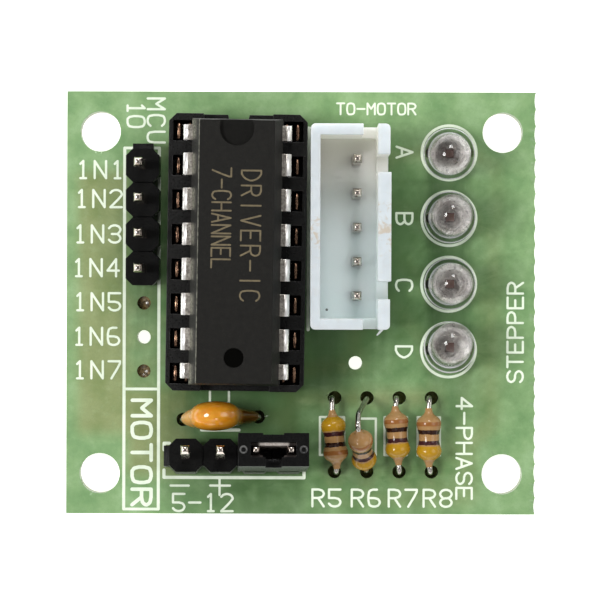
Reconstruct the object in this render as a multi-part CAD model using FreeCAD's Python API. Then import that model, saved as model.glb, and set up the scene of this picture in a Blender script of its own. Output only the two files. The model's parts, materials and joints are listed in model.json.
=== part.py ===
import FreeCAD, Part

import math
import os

# Stepper driver module: a single-sided circuit board with a socketed driver chip, a motor
# connector, four signal lamps and their resistors, a control header and a power header with a
# jumper cap. Millimetres. The origin is the middle of the four fixing holes on the underside of
# the board, +Z towards the component side, +X along the long edge, +Y towards the end where the
# chip has its notch.

Vec = FreeCAD.Vector
Rotation = FreeCAD.Rotation
Placement = FreeCAD.Placement

# ---------------------------------------------------------------- board
board_length = 35.0
board_width = 31.5
board_thickness = 1.6
fixing_edge_distance_x = 2.5
fixing_edge_distance_y = 3.0
fixing_hole_diameter = 3.0
scallop_pitch = 1.25
scallop_depth = 0.12
scallop_radius = 2.0

# ---------------------------------------------------------------- pins and drilling
pitch = 2.54
pin_side = 0.64
pin_tip_length = 0.45
pin_tip_side = 0.32
drill_clearance = 0.1
lean_clearance = 0.15
tail_length = 1.4

# ---------------------------------------------------------------- copper and solder
copper_thickness = 0.07
pad_ring = 0.32
track_width = 0.35
power_track_width = 1.1
solder_height = 0.9
solder_inset = 0.08
solder_neck_inset = 0.02
copper_edge_gap = 0.8
lamp_track_width = 0.28
lamp_track_step = 0.55
lamp_track_from_anode = 0.7
lamp_track_from_resistor = 1.45
lamp_track_waist = 1.9
lamp_track_elbow = 1.2
lamp_track_slant = 1.8
lamp_track_corner = 0.6
straight_track_slant = 1.1
straight_track_rise = 1.4

# ---------------------------------------------------------------- driver chip and its socket
ic_x = -4.75
ic_y = 3.67
ic_yaw = -0.7
ic_legs_per_side = 8
ic_row_spacing = 7.62
socket_rail_width = 2.54
socket_height = 4.2
socket_foot_height = 0.35
socket_foot_size = 0.9
socket_floor_thickness = 0.5
socket_bar_length = 1.3
socket_bar_height = 2.6
socket_corner_chamfer = 0.4
socket_notch_radius = 0.78
cavity_inner = 0.5
cavity_outer = 0.95
cavity_width = 1.5
contact_sheet = 0.2
contact_width = 1.2
contact_flare = 0.3
contact_bend_height = 2.3
contact_top_gap = 0.3
contact_tail_width = 0.5
contact_tail_thickness = 0.25
socket_hole_diameter = 0.95

ic_standoff = 0.5
ic_case_width = 6.6
ic_case_end_allowance = 1.02
ic_case_height = 3.3
ic_case_side_draft = 0.58
ic_case_end_draft = 0.17
ic_notch_width = 2.5
ic_notch_depth = 1.85
ic_notch_recess = 0.35
ic_dimple_radius = 0.73
ic_dimple_depth = 0.12
ic_dimple_end_distance = 1.84
leg_thickness = 0.25
leg_blade_width = 0.46
leg_blade_length = 3.0
leg_tip_length = 0.35
leg_tip_width = 0.2
leg_shoulder_width = 1.6
end_leg_overhang = 0.3
leg_bend_outer_radius = 0.4
leg_root_length = 1.1
seat_gap = 0.02
blade_clearance = 0.03
paddle_length = 5.0
paddle_width = 3.0
die_length = 3.0
die_width = 2.0
die_thickness = 0.3

# ---------------------------------------------------------------- motor connector
motor_x = 4.06
motor_y = 5.53
motor_ways = 5
motor_pitch = 2.5
motor_pin_height = 5.8
motor_end_margin = 2.45
motor_west_reach = 3.4
motor_east_reach = 2.35
motor_height = 7.0
motor_floor_thickness = 1.1
motor_west_wall = 0.7
motor_east_wall = 0.87
motor_end_wall = 0.8
motor_notch_width = 1.07
motor_notch_sill = 2.2
motor_slot_width = 1.3
motor_slot_inboard = 0.4
motor_slot_sill = 1.8
motor_middle_step = 0.08
motor_corner_radius = 0.35
spare_hole_offset = 5.0

# ---------------------------------------------------------------- signal lamps
lamp_x = 11.0
lamp_top_y = 11.23
lamp_spacing = 4.9
lamp_lead_spacing = 2.54
lamp_lead_side = 0.5
lamp_flange_radius = 1.925
lamp_flange_height = 1.0
lamp_body_radius = 1.5
lamp_height = 5.3
lamp_frame_height = 1.9
lamp_arm_height = 0.5
lamp_cup_radius = 0.6
lamp_cup_height = 0.55
lamp_cup_mouth_radius = 0.5
lamp_cup_floor_radius = 0.28
lamp_cup_depth = 0.4
lamp_chip_side = 0.25
lamp_chip_height = 0.18
lamp_anode_head_width = 0.75
lamp_anode_head_height = 0.75
# degrees towards +X and towards +Y
lamp_leans = {"a": (-1.0, -3.7), "b": (0.8, 2.2), "c": (1.4, 0.3), "d": (1.0, 6.6)}

# ---------------------------------------------------------------- resistors
resistor_x = 2.52
resistor_spacing = 2.41
resistor_north_y = -7.07
resistor_hole_spacing = 5.51
resistor_hole_diameter = 1.0
resistor_lead_radius = 0.2
resistor_axis_height = 1.0
resistor_bulge_radius = 0.93
resistor_waist_radius = 0.76
resistor_bulge_offset = 1.08
resistor_half_length = 1.72
resistor_neck_length = 0.5
resistor_shoulder_radius = 0.4
resistor_end_inset = 0.24
resistor_end_radius = 0.7
resistor_neck_film = 0.03
resistor_neck_slope = 0.15
resistor_core_radius = 0.45
resistor_core_half_length = 1.25
resistor_cap_radius = 0.6
resistor_cap_length = 0.6
resistor_cap_wall = 0.12
resistor_bend_radius = 0.4
resistor_knee_radius = 1.0
flat_resistors = {
    # name: shift of the body at its north and south bulges, of the leads in their holes, and
    # of the whole body along the board
    "r5": {"column": 0, "bulges": (-0.11, 0.08), "leads": (-0.2, 0.12), "slide": -0.3},
    "r7": {"column": 2, "bulges": (-0.27, -0.13), "leads": (-0.22, 0.0), "slide": 0.0},
    "r8": {"column": 3, "bulges": (-0.24, -0.22), "leads": (-0.2, -0.1), "slide": -0.15},
}
raised_column = 1
raised_bearing = -11.8
raised_elevation = 45.0
raised_board_gap = 0.1
raised_shift_x = -0.37
raised_from_south_hole = 1.72
raised_foot_length = 0.2
raised_crest_length = 0.45
raised_fall_shift_x = -0.32
raised_fall_share = 0.45
raised_fall_drop = 0.75
raised_fall_radius = 1.2
raised_knee = (-0.04, -0.06, 0.7)
raised_knee_radius = 0.6

# ---------------------------------------------------------------- capacitor
capacitor_x = -5.98
capacitor_gap_to_socket = 2.13
capacitor_hole_spacing = 5.6
capacitor_turn = 2.1
capacitor_body_radius = 1.9
capacitor_half_thickness = 1.04
capacitor_rim_radius = 0.5
capacitor_board_gap = 0.25
capacitor_body_shift = -0.35
capacitor_skirt_top_radius = 0.75
capacitor_skirt_foot_radius = 0.42
capacitor_skirt_top = (1.2, 1.35)
capacitor_skirt_foot_inset = 0.1
capacitor_skirt_foot_height = 0.35
capacitor_lead_entry_inset = 0.1
capacitor_lead_entry_rise = 0.2
capacitor_knee_height = 0.3
capacitor_bend_radius = 0.3
capacitor_lead_radius = 0.25
capacitor_chip_length = 2.0
capacitor_chip_height = 1.6
capacitor_chip_thickness = 0.9

# ---------------------------------------------------------------- headers and jumper
header_block_gap = 0.08
header_block_height = 2.54
header_corner_chamfer = 0.5
header_web_width = 1.5
header_web_low = 0.3
header_web_high = 2.0
header_stub_length = 0.4
header_pin_above = 6.0
input_ways = 7
input_fitted = 4
input_x = -11.73
input_top_y = 10.12
power_ways = 4
power_first_x = -8.57
power_to_capacitor = 3.06
power_lean_x = 1.7
power_lean_y = 7.0
jumper_width = 2.4
jumper_height = 6.0
jumper_clip_sheet = 0.2
jumper_pin_gap = 0.03
jumper_clip_fit = 0.02
jumper_leaf_length = 1.0
jumper_roof = 0.8
jumper_clip_low = 0.7
jumper_window_gap = 0.04
jumper_window_width = 1.07
jumper_slot_width = 1.16
jumper_slot_depth = 1.6
jumper_recess_length = 1.5
jumper_recess_depth = 0.12
jumper_recess_height = 1.6

# ---------------------------------------------------------------- sizes that follow
board_top = board_thickness
board_middle = board_thickness / 2
socket_length = ic_legs_per_side * pitch
socket_south_y = ic_y - socket_length / 2
capacitor_y = socket_south_y - capacitor_gap_to_socket
power_y = capacitor_y - power_to_capacitor
resistor_south_y = resistor_north_y - resistor_hole_spacing
pin_hole_diameter = pin_side * math.sqrt(2) + drill_clearance
leaning_hole_diameter = pin_hole_diameter + lean_clearance
lamp_hole_diameter = lamp_lead_side * math.sqrt(2) + drill_clearance + lean_clearance
motor_half_length = (motor_ways - 1) * motor_pitch / 2 + motor_end_margin
header_width = pitch - header_block_gap
ic_middle_height = socket_height + ic_standoff + ic_case_height / 2
ic_case_length = socket_length - ic_case_end_allowance


# ---------------------------------------------------------------- shape helpers
past = 1.0  # how far a cutting tool reaches past the surface it cuts


def box(low, high):
    """A box between two corners."""
    return Part.makeBox(high[0] - low[0], high[1] - low[1], high[2] - low[2], Vec(*low))


def block(x, y, z, size_x, size_y, size_z):
    """A box centred on x and y that stands on z."""
    return Part.makeBox(size_x, size_y, size_z, Vec(x - size_x / 2, y - size_y / 2, z))


def rod(x, y, z_low, z_high, radius):
    """An upright cylinder."""
    return Part.makeCylinder(radius, z_high - z_low, Vec(x, y, z_low))


def fuse(shapes):
    """One solid, or a group of separate solids, from shapes that touch or overlap."""
    if len(shapes) == 1:
        return shapes[0]
    return shapes[0].multiFuse(shapes[1:]).removeSplitter()


def cut(shape, tools):
    """The shape with every tool taken out of it."""
    return shape.cut(tools) if tools else shape


def hollow(shape, inner_pieces):
    """A moulded or dipped shape with room for the pieces inside it, taken out one by one."""
    for piece in inner_pieces:
        shape = shape.cut(piece)
    return shape


def rectangle(x, y, z, size_x, size_y):
    """A flat rectangular wire centred on x and y."""
    corners = [
        Vec(x - size_x / 2, y - size_y / 2, z),
        Vec(x + size_x / 2, y - size_y / 2, z),
        Vec(x + size_x / 2, y + size_y / 2, z),
        Vec(x - size_x / 2, y + size_y / 2, z),
    ]
    return Part.makePolygon(corners + corners[:1])


def frustum(low_wire, high_wire):
    """The straight-sided solid between two flat wires."""
    return Part.makeLoft([low_wire, high_wire], True, True)


def slab(points, direction):
    """A polygon swept along a vector."""
    outline = Part.makePolygon(points + points[:1])
    return Part.Face(outline).extrude(direction)


def square_pin(x, y, z_low, z_high):
    """A square pin with pyramid-shaped ends."""
    shaft_low = z_low + pin_tip_length
    shaft_high = z_high - pin_tip_length
    full = (pin_side, pin_side)
    small = (pin_tip_side, pin_tip_side)
    return fuse([
        block(x, y, shaft_low, pin_side, pin_side, shaft_high - shaft_low),
        frustum(rectangle(x, y, shaft_high, *full), rectangle(x, y, z_high, *small)),
        frustum(rectangle(x, y, z_low, *small), rectangle(x, y, shaft_low, *full)),
    ])


def rounded_path(points, radii):
    """A wire of straight runs joined by tangent arcs, one radius for each inner point."""
    edges = []
    start = points[0]
    for index, radius in enumerate(radii, start=1):
        corner = points[index]
        arriving = (corner - points[index - 1]).normalize()
        leaving = (points[index + 1] - corner).normalize()
        turn = arriving.getAngle(leaving)
        setback = radius * math.tan(turn / 2)
        arc_start = corner - arriving * setback
        arc_end = corner + leaving * setback
        inward = (leaving - arriving).normalize()
        to_centre = radius / math.cos(turn / 2)
        arc_middle = corner + inward * (to_centre - radius)
        edges.append(Part.LineSegment(start, arc_start).toShape())
        edges.append(Part.Arc(arc_start, arc_middle, arc_end).toShape())
        start = arc_end
    edges.append(Part.LineSegment(start, points[-1]).toShape())
    return Part.Wire(edges)


def wire_lead(points, radii, radius):
    """A round wire that follows a rounded path."""
    path = rounded_path(points, radii)
    ring = Part.Wire(Part.makeCircle(radius, points[0], points[1] - points[0]))
    return path.makePipeShell([ring], True, True)


def leaning_seat(x, y, lean_x, lean_y, reach_x, reach_y):
    """Where a part sits that leans in its holes.

    It leans by lean_x degrees towards +X and lean_y towards +Y, its axis passes through x and y
    in the middle of the board, and the lowest corner of its foot touches the board."""
    turn = Rotation(Vec(0, 1, 0), lean_x).multiply(Rotation(Vec(1, 0, 0), -lean_y))
    axis = turn.multVec(Vec(0, 0, 1))
    slope_x = turn.multVec(Vec(1, 0, 0)).z
    slope_y = turn.multVec(Vec(0, 1, 0)).z
    drop = reach_x * abs(slope_x) + reach_y * abs(slope_y)
    rise = (board_top + drop - board_middle) / axis.z
    return Placement(Vec(x, y, board_middle) + axis * rise, turn), rise


def placed(shape, placement):
    """A copy of a shape moved from its own frame to its place on the board."""
    result = shape.copy()
    result.Placement = placement.multiply(result.Placement)
    return result


def tail_end(seat_rise):
    """How far below its seat a part's lead ends, so that it shows tail_length under the board."""
    return -(seat_rise + board_middle + tail_length)


# ---------------------------------------------------------------- where the holes are
def input_hole(number):
    return input_x, input_top_y - (number - 1) * pitch


def power_hole(number):
    return power_first_x + (number - 1) * pitch, power_y


def motor_hole(number):
    return motor_x, motor_y + ((motor_ways + 1) / 2 - number) * motor_pitch


def ic_hole(leg):
    """Legs count down the west row from the notch, then up the east row."""
    half_row = ic_row_spacing / 2
    first_y = ic_y + (ic_legs_per_side - 1) * pitch / 2
    if leg <= ic_legs_per_side:
        return ic_x - half_row, first_y - (leg - 1) * pitch
    return ic_x + half_row, first_y - (2 * ic_legs_per_side - leg) * pitch


def lamp_centre(name):
    return lamp_x, lamp_top_y - list(lamp_leans).index(name) * lamp_spacing


def lamp_hole(name, side):
    """side is -1 for the cathode, to the west, and 1 for the anode."""
    x, y = lamp_centre(name)
    return x + side * lamp_lead_spacing / 2, y


def resistor_hole(column, north):
    return resistor_x + column * resistor_spacing, resistor_north_y if north else resistor_south_y


def capacitor_hole(side):
    turn = math.radians(capacitor_turn)
    half = side * capacitor_hole_spacing / 2
    return capacitor_x + half * math.cos(turn), capacitor_y + half * math.sin(turn)


def spare_hole():
    x, y = motor_hole(motor_ways)
    return x, y - spare_hole_offset


def fixing_holes():
    reach_x = board_length / 2 - fixing_edge_distance_x
    reach_y = board_width / 2 - fixing_edge_distance_y
    return [(sx * reach_x, sy * reach_y) for sx in (-1, 1) for sy in (-1, 1)]


def component_holes():
    """Every drilled hole for a lead, as x, y and diameter."""
    holes = []
    holes += [(*input_hole(n), pin_hole_diameter) for n in range(1, input_ways + 1)]
    holes += [(*power_hole(n), leaning_hole_diameter) for n in range(1, power_ways + 1)]
    holes += [(*motor_hole(n), pin_hole_diameter) for n in range(1, motor_ways + 1)]
    holes += [(*ic_hole(n), socket_hole_diameter) for n in range(1, 2 * ic_legs_per_side + 1)]
    holes += [(*lamp_hole(n, side), lamp_hole_diameter) for n in lamp_leans for side in (-1, 1)]
    holes += [(*resistor_hole(c, north), resistor_hole_diameter)
              for c in range(4) for north in (True, False)]
    holes += [(*capacitor_hole(side), resistor_hole_diameter) for side in (-1, 1)]
    holes.append((*spare_hole(), pin_hole_diameter))
    return holes


# ---------------------------------------------------------------- board and copper
def circuit_board():
    board = block(0, 0, 0, board_length, board_width, board_thickness)
    drills = [rod(x, y, -past, board_thickness + past, fixing_hole_diameter / 2)
              for x, y in fixing_holes()]
    drills += [rod(x, y, -past, board_thickness + past, d / 2) for x, y, d in component_holes()]
    count = int(board_width / scallop_pitch)
    step = board_width / count
    edge_x = board_length / 2 + scallop_radius - scallop_depth
    drills += [rod(edge_x, -board_width / 2 + (n + 0.5) * step, -past, board_thickness + past,
                   scallop_radius) for n in range(count)]
    return cut(board, drills)


def track(points, width):
    """Round-ended copper strips along a line of points."""
    strips = [rod(x, y, -copper_thickness, 0, width / 2) for x, y in points]
    for (x0, y0), (x1, y1) in zip(points, points[1:]):
        length = math.hypot(x1 - x0, y1 - y0)
        strip = box((0, -width / 2, -copper_thickness), (length, width / 2, 0))
        bearing = math.degrees(math.atan2(y1 - y0, x1 - x0))
        strips.append(placed(strip, Placement(Vec(x0, y0, 0), Rotation(Vec(0, 0, 1), bearing))))
    return strips


def pads(points, diameter):
    return [rod(x, y, -copper_thickness, 0, diameter / 2 + pad_ring) for x, y in points]


def pour(points):
    """A flat copper area."""
    return slab([Vec(x, y, -copper_thickness) for x, y in points], Vec(0, 0, copper_thickness))


def ground_net():
    leg = ic_hole(ic_legs_per_side)
    capacitor = capacitor_hole(-1)
    power = power_hole(1)
    edge_x = -board_length / 2 + copper_edge_gap
    inner_x = input_x - pin_hole_diameter / 2 - pad_ring - track_width
    low_y = power_y - pitch / 2
    high_y = board_width / 2 - 2 * fixing_edge_distance_y
    last_input_y = input_hole(input_ways)[1] - pitch / 2
    area = [(edge_x, -high_y), (inner_x, -high_y), (inner_x, low_y), (power[0], low_y),
            (power[0], last_input_y), (inner_x, last_input_y), (inner_x, high_y), (edge_x, high_y)]
    return (track([leg, capacitor, power], power_track_width) + [pour(area)]
            + pads([leg], socket_hole_diameter) + pads([capacitor], resistor_hole_diameter)
            + pads([power], leaning_hole_diameter))


def supply_net():
    power = power_hole(power_ways)
    capacitor = capacitor_hole(1)
    leg = ic_hole(ic_legs_per_side + 1)
    motor = motor_hole(motor_ways)
    norths = [resistor_hole(c, True) for c in range(4)]
    strips = track([power, (power[0], capacitor[1]), leg], power_track_width)
    strips += track([capacitor, (power[0], capacitor[1])], power_track_width)
    strips += track([(power[0], capacitor[1]), (leg[0], resistor_north_y), norths[-1]],
                    power_track_width)
    strips += track([leg, spare_hole(), motor], power_track_width)
    return (strips + pads([power], leaning_hole_diameter) + pads([leg], socket_hole_diameter)
            + pads([capacitor] + norths, resistor_hole_diameter)
            + pads([spare_hole()], pin_hole_diameter) + pads([motor], pin_hole_diameter))


def switched_net():
    ends = [power_hole(2), power_hole(3)]
    return track(ends, power_track_width) + pads(ends, leaning_hole_diameter)


def input_net(number):
    start = input_hole(number)
    leg = ic_hole(number)
    return (track([start, leg], track_width) + pads([start], pin_hole_diameter)
            + pads([leg], socket_hole_diameter))


def output_net(index, name):
    """One driver output: chip leg, motor connector pin and lamp cathode."""
    leg = ic_hole(2 * ic_legs_per_side - index)
    motor = motor_hole(index + 1)
    lamp = lamp_hole(name, -1)
    return (track([leg, motor, lamp], track_width) + pads([leg], socket_hole_diameter)
            + pads([motor], pin_hole_diameter) + pads([lamp], lamp_hole_diameter))


def lamp_net(index, name):
    """A lamp's anode to its resistor, nested round the ones further down the board."""
    nest = len(lamp_leans) - 1 - index
    anode = lamp_hole(name, 1)
    south = resistor_hole(index, False)
    down_x = anode[0] + lamp_track_from_anode + nest * lamp_track_step
    inner_x = resistor_hole(3, False)[0] + lamp_track_from_resistor + nest * lamp_track_step
    waist_y = resistor_north_y - lamp_track_waist
    corner = lamp_track_corner
    if nest == 0:
        points = [anode, (anode[0], waist_y), (inner_x, waist_y - straight_track_slant),
                  (inner_x, south[1] + straight_track_rise), south]
    else:
        low_y = south[1] - lamp_track_from_anode - nest * lamp_track_step
        points = [anode, (down_x, anode[1] - lamp_track_elbow), (down_x, waist_y),
                  (inner_x, waist_y - lamp_track_slant), (inner_x, low_y + corner),
                  (inner_x - corner, low_y), (south[0] + corner, low_y),
                  (south[0], low_y + corner), south]
    return (track(points, lamp_track_width) + pads([anode], lamp_hole_diameter)
            + pads([south], resistor_hole_diameter))


def copper_tracks():
    nets = [ground_net(), supply_net(), switched_net()]
    nets += [input_net(n) for n in range(1, input_ways + 1)]
    nets += [output_net(i, name) for i, name in enumerate(lamp_leans)]
    nets += [lamp_net(i, name) for i, name in enumerate(lamp_leans)]
    nets += [pads([ic_hole(n)], socket_hole_diameter) for n in range(10, 13)]
    drills = [rod(x, y, -past, past, d / 2) for x, y, d in component_holes()]
    return Part.makeCompound([cut(fuse(net), drills) for net in nets])


def solder_cone(x, y, hole_diameter, leads):
    """The fillet of solder between a pad and the leads that come through it."""
    foot = hole_diameter / 2 + pad_ring - solder_inset
    top = -copper_thickness
    neck = hole_diameter / 2 - solder_neck_inset
    cone = Part.makeCone(neck, foot, solder_height, Vec(x, y, top - solder_height))
    return cut(cone, leads)


# ---------------------------------------------------------------- chip socket
def ic_frame():
    return Placement(Vec(ic_x, ic_y, board_top), Rotation(Vec(0, 0, 1), ic_yaw))


def leg_places():
    """Each leg's side (-1 west, 1 east) and its y in the chip's own frame."""
    first = (ic_legs_per_side - 1) * pitch / 2
    return [(side, first - n * pitch) for side in (-1, 1) for n in range(ic_legs_per_side)]


def socket_body():
    half_row = ic_row_spacing / 2
    half_length = socket_length / 2
    half_width = half_row + socket_rail_width / 2
    foot = socket_foot_height
    rails = [block(side * half_row, 0, foot, socket_rail_width, socket_length,
                   socket_height - foot) for side in (-1, 1)]
    bars = [block(0, end * (half_length - socket_bar_length / 2), foot, 2 * half_row,
                  socket_bar_length, socket_bar_height) for end in (-1, 1)]
    feet = [block(sx * (half_width - socket_foot_size / 2), sy * (half_length - socket_foot_size / 2),
                  0, socket_foot_size, socket_foot_size, foot) for sx in (-1, 1) for sy in (-1, 1)]
    body = fuse(rails + bars + feet)
    floor = foot + socket_floor_thickness
    cavities = []
    for side, y in leg_places():
        inner = side * (half_row - cavity_inner)
        outer = side * (half_row + cavity_outer)
        cavities.append(box((min(inner, outer), y - cavity_width / 2, floor),
                            (max(inner, outer), y + cavity_width / 2, socket_height + past)))
        cavities.append(block(side * half_row, y, 0, contact_tail_thickness, contact_tail_width,
                              floor))
    size = socket_corner_chamfer
    corners = [placed(block(0, 0, -past, 2 * size, 2 * size, socket_height + 2 * past),
                      Placement(Vec(sx * half_width, sy * half_length, 0),
                                Rotation(Vec(0, 0, 1), 45))) for sx in (-1, 1) for sy in (-1, 1)]
    notch = rod(0, half_length, foot, socket_height, socket_notch_radius)
    return cut(body, cavities + corners + [notch])


def socket_contact(side, y):
    """A folded spring: two leaves that grip a chip leg, on a tail that goes through the board."""
    grip = leg_thickness / 2 + blade_clearance
    sheet = contact_sheet
    base = socket_foot_height + socket_floor_thickness
    bend = base + contact_bend_height - socket_floor_thickness
    high = socket_height - contact_top_gap
    outline = [(-grip - sheet, high), (-grip - sheet, base), (grip + sheet, base),
               (grip + sheet, bend), (grip + sheet + contact_flare, high),
               (grip + contact_flare, high), (grip, bend), (grip, base + sheet),
               (-grip, base + sheet), (-grip, high)]
    x = side * ic_row_spacing / 2
    points = [Vec(x + side * u, y - contact_width / 2, z) for u, z in outline]
    leaves = slab(points, Vec(0, contact_width, 0))
    tail_low = -(board_thickness + tail_length)
    tail = block(x, y, tail_low, contact_tail_thickness, contact_tail_width, base - tail_low)
    return fuse([leaves, tail])


# ---------------------------------------------------------------- driver chip
def leg_profile(side, y_low, y_high, z_low):
    """The wide shoulder: level out of the case, then bent down."""
    out = ic_row_spacing / 2 + leg_thickness / 2
    top = ic_middle_height + leg_thickness / 2
    inside = ic_case_width / 2 - leg_root_length
    outer = leg_bend_outer_radius
    inner = outer - leg_thickness
    diagonal = math.sqrt(0.5)

    def at(u, z):
        return Vec(side * u, y_low, z)

    centre = (out - outer, top - outer)
    outer_middle = at(centre[0] + outer * diagonal, centre[1] + outer * diagonal)
    inner_middle = at(centre[0] + inner * diagonal, centre[1] + inner * diagonal)
    edges = [
        Part.LineSegment(at(inside, top), at(centre[0], top)),
        Part.Arc(at(centre[0], top), outer_middle, at(out, centre[1])),
        Part.LineSegment(at(out, centre[1]), at(out, z_low)),
        Part.LineSegment(at(out, z_low), at(out - leg_thickness, z_low)),
        Part.LineSegment(at(out - leg_thickness, z_low), at(out - leg_thickness, centre[1])),
        Part.Arc(at(out - leg_thickness, centre[1]), inner_middle,
                 at(centre[0], top - leg_thickness)),
        Part.LineSegment(at(centre[0], top - leg_thickness), at(inside, top - leg_thickness)),
        Part.LineSegment(at(inside, top - leg_thickness), at(inside, top)),
    ]
    outline = Part.Wire([edge.toShape() for edge in edges])
    return Part.Face(outline).extrude(Vec(0, y_high - y_low, 0))


def ic_leg(side, y):
    """One leg. The legs at the ends of a row have half a shoulder on the outside."""
    seat = socket_height + seat_gap
    last = (ic_legs_per_side - 1) * pitch / 2
    reach_low = leg_shoulder_width / 2
    reach_high = leg_shoulder_width / 2
    if abs(y - last) < pitch / 2:
        reach_high = end_leg_overhang
    if abs(y + last) < pitch / 2:
        reach_low = end_leg_overhang
    shoulder = leg_profile(side, y - reach_low, y + reach_high, seat)
    x = side * ic_row_spacing / 2
    tip = seat - leg_blade_length
    blade = block(x, y, tip + leg_tip_length, leg_thickness, leg_blade_width,
                  leg_blade_length - leg_tip_length)
    point = frustum(rectangle(x, y, tip, leg_thickness, leg_tip_width),
                    rectangle(x, y, tip + leg_tip_length, leg_thickness, leg_blade_width))
    return fuse([shoulder, blade, point])


def ic_paddle():
    low = ic_middle_height - leg_thickness / 2
    return block(0, 0, low, paddle_width, paddle_length, leg_thickness)


def ic_die():
    low = ic_middle_height + leg_thickness / 2
    return block(0, 0, low, die_width, die_length, die_thickness)


def ic_case(inside):
    """The moulded case, drafted both ways from the level of the legs."""
    low = socket_height + ic_standoff
    high = low + ic_case_height
    wide = (ic_case_width, ic_case_length)
    narrow = (ic_case_width - 2 * ic_case_side_draft, ic_case_length - 2 * ic_case_end_draft)
    middle = rectangle(0, 0, ic_middle_height, *wide)
    body = fuse([frustum(rectangle(0, 0, low, *narrow), middle),
                 frustum(middle, rectangle(0, 0, high, *narrow))])
    end = narrow[1] / 2
    radius = ic_notch_width / 2
    notch_centre = end - (ic_notch_depth - radius)
    notch_low = high - ic_notch_recess
    notch = fuse([rod(0, notch_centre, notch_low, high + past, radius),
                  box((-radius, notch_centre, notch_low), (radius, end + past, high + past))])
    dimple = rod(0, -end + ic_dimple_end_distance, high - ic_dimple_depth, high + past,
                 ic_dimple_radius)
    return cut(body, [notch, dimple] + inside)


# ---------------------------------------------------------------- motor connector
def motor_housing(pins):
    west = motor_x - motor_west_reach
    east = motor_x + motor_east_reach
    south = motor_y - motor_half_length
    north = motor_y + motor_half_length
    low = board_top
    high = board_top + motor_height
    body = box((west, south, low), (east, north, high))
    corners = [edge for edge in body.Edges if abs(edge.tangentAt(edge.FirstParameter).z) > 0.99]
    body = body.makeFillet(motor_corner_radius, corners)
    inner_east = east - motor_east_wall
    cavity = box((west + motor_west_wall, south + motor_end_wall, low + motor_floor_thickness),
                 (inner_east, north - motor_end_wall, high + past))
    notches = [box((inner_east - motor_notch_width, edge_y - motor_end_wall * 2,
                    low + motor_notch_sill),
                   (inner_east, edge_y + motor_end_wall * 2, high + past)) for edge_y in (south, north)]
    first_slot = (motor_ways - 1) * motor_pitch / 2 - motor_slot_inboard
    slots = [block(east, motor_y + side * first_slot, low + motor_slot_sill, 4 * motor_east_wall,
                   motor_slot_width, motor_height) for side in (-1, 1)]
    half_middle = first_slot - motor_slot_width / 2
    step = box((inner_east, motor_y - half_middle, low), (east + motor_middle_step,
                                                         motor_y + half_middle, high))
    body = fuse([cut(body, [cavity] + notches + slots), step])
    return cut(body, pins)


def motor_pin(number):
    x, y = motor_hole(number)
    return square_pin(x, y, -tail_length, board_top + motor_pin_height)


# ---------------------------------------------------------------- signal lamps
def lamp_seat(name):
    lean_x, lean_y = lamp_leans[name]
    x, y = lamp_centre(name)
    steepness = math.hypot(math.radians(lean_x), math.radians(lean_y))
    share = (abs(math.radians(lean_x)) / steepness, abs(math.radians(lean_y)) / steepness)
    return leaning_seat(x, y, lean_x, lean_y, lamp_flange_radius * share[0],
                        lamp_flange_radius * share[1])


def lamp_cathode(tail):
    x = -lamp_lead_spacing / 2
    side = lamp_lead_side
    post_top = lamp_frame_height + lamp_arm_height
    post = block(x, 0, tail, side, side, post_top - tail)
    arm = box((x, -side / 2, lamp_frame_height), (0, side / 2, post_top))
    cup = rod(0, 0, lamp_frame_height, post_top + lamp_cup_height, lamp_cup_radius)
    floor = post_top + lamp_cup_height - lamp_cup_depth
    dish = Part.makeCone(lamp_cup_floor_radius, lamp_cup_mouth_radius, lamp_cup_depth,
                         Vec(0, 0, floor))
    return cut(fuse([post, arm, cup]), [dish])


def lamp_anode(tail):
    x = lamp_lead_spacing / 2
    side = lamp_lead_side
    head_low = lamp_frame_height + lamp_arm_height - lamp_anode_head_height / 2
    post = block(x, 0, tail, side, side, head_low - tail)
    head_inner = x + side / 2 - lamp_anode_head_width
    head = box((head_inner, -side / 2, head_low),
               (x + side / 2, side / 2, head_low + lamp_anode_head_height))
    return fuse([post, head])


def lamp_chip():
    floor = lamp_frame_height + lamp_arm_height + lamp_cup_height - lamp_cup_depth
    return block(0, 0, floor, lamp_chip_side, lamp_chip_side, lamp_chip_height)


def lamp_lens(inside):
    """A flange, a straight barrel and a round dome, moulded round the lead frame."""
    shoulder = lamp_height - lamp_body_radius
    slope = lamp_body_radius * math.sqrt(0.5)
    edges = [
        Part.LineSegment(Vec(0, 0, 0), Vec(lamp_flange_radius, 0, 0)),
        Part.LineSegment(Vec(lamp_flange_radius, 0, 0), Vec(lamp_flange_radius, 0, lamp_flange_height)),
        Part.LineSegment(Vec(lamp_flange_radius, 0, lamp_flange_height),
                         Vec(lamp_body_radius, 0, lamp_flange_height)),
        Part.LineSegment(Vec(lamp_body_radius, 0, lamp_flange_height),
                         Vec(lamp_body_radius, 0, shoulder)),
        Part.Arc(Vec(lamp_body_radius, 0, shoulder), Vec(slope, 0, shoulder + slope),
                 Vec(0, 0, lamp_height)),
        Part.LineSegment(Vec(0, 0, lamp_height), Vec(0, 0, 0)),
    ]
    outline = Part.Wire([edge.toShape() for edge in edges])
    lens = Part.Face(outline).revolve(Vec(0, 0, 0), Vec(0, 0, 1), 360)
    return cut(lens, inside)


def lamp_parts(name):
    seat, rise = lamp_seat(name)
    tail = tail_end(rise)
    cathode = lamp_cathode(tail)
    anode = lamp_anode(tail)
    chip = lamp_chip()
    parts = {
        "lens": lamp_lens([cathode, anode, chip]),
        "cathode": cathode,
        "anode": anode,
        "chip": chip,
    }
    return {key: placed(shape, seat) for key, shape in parts.items()}


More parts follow.
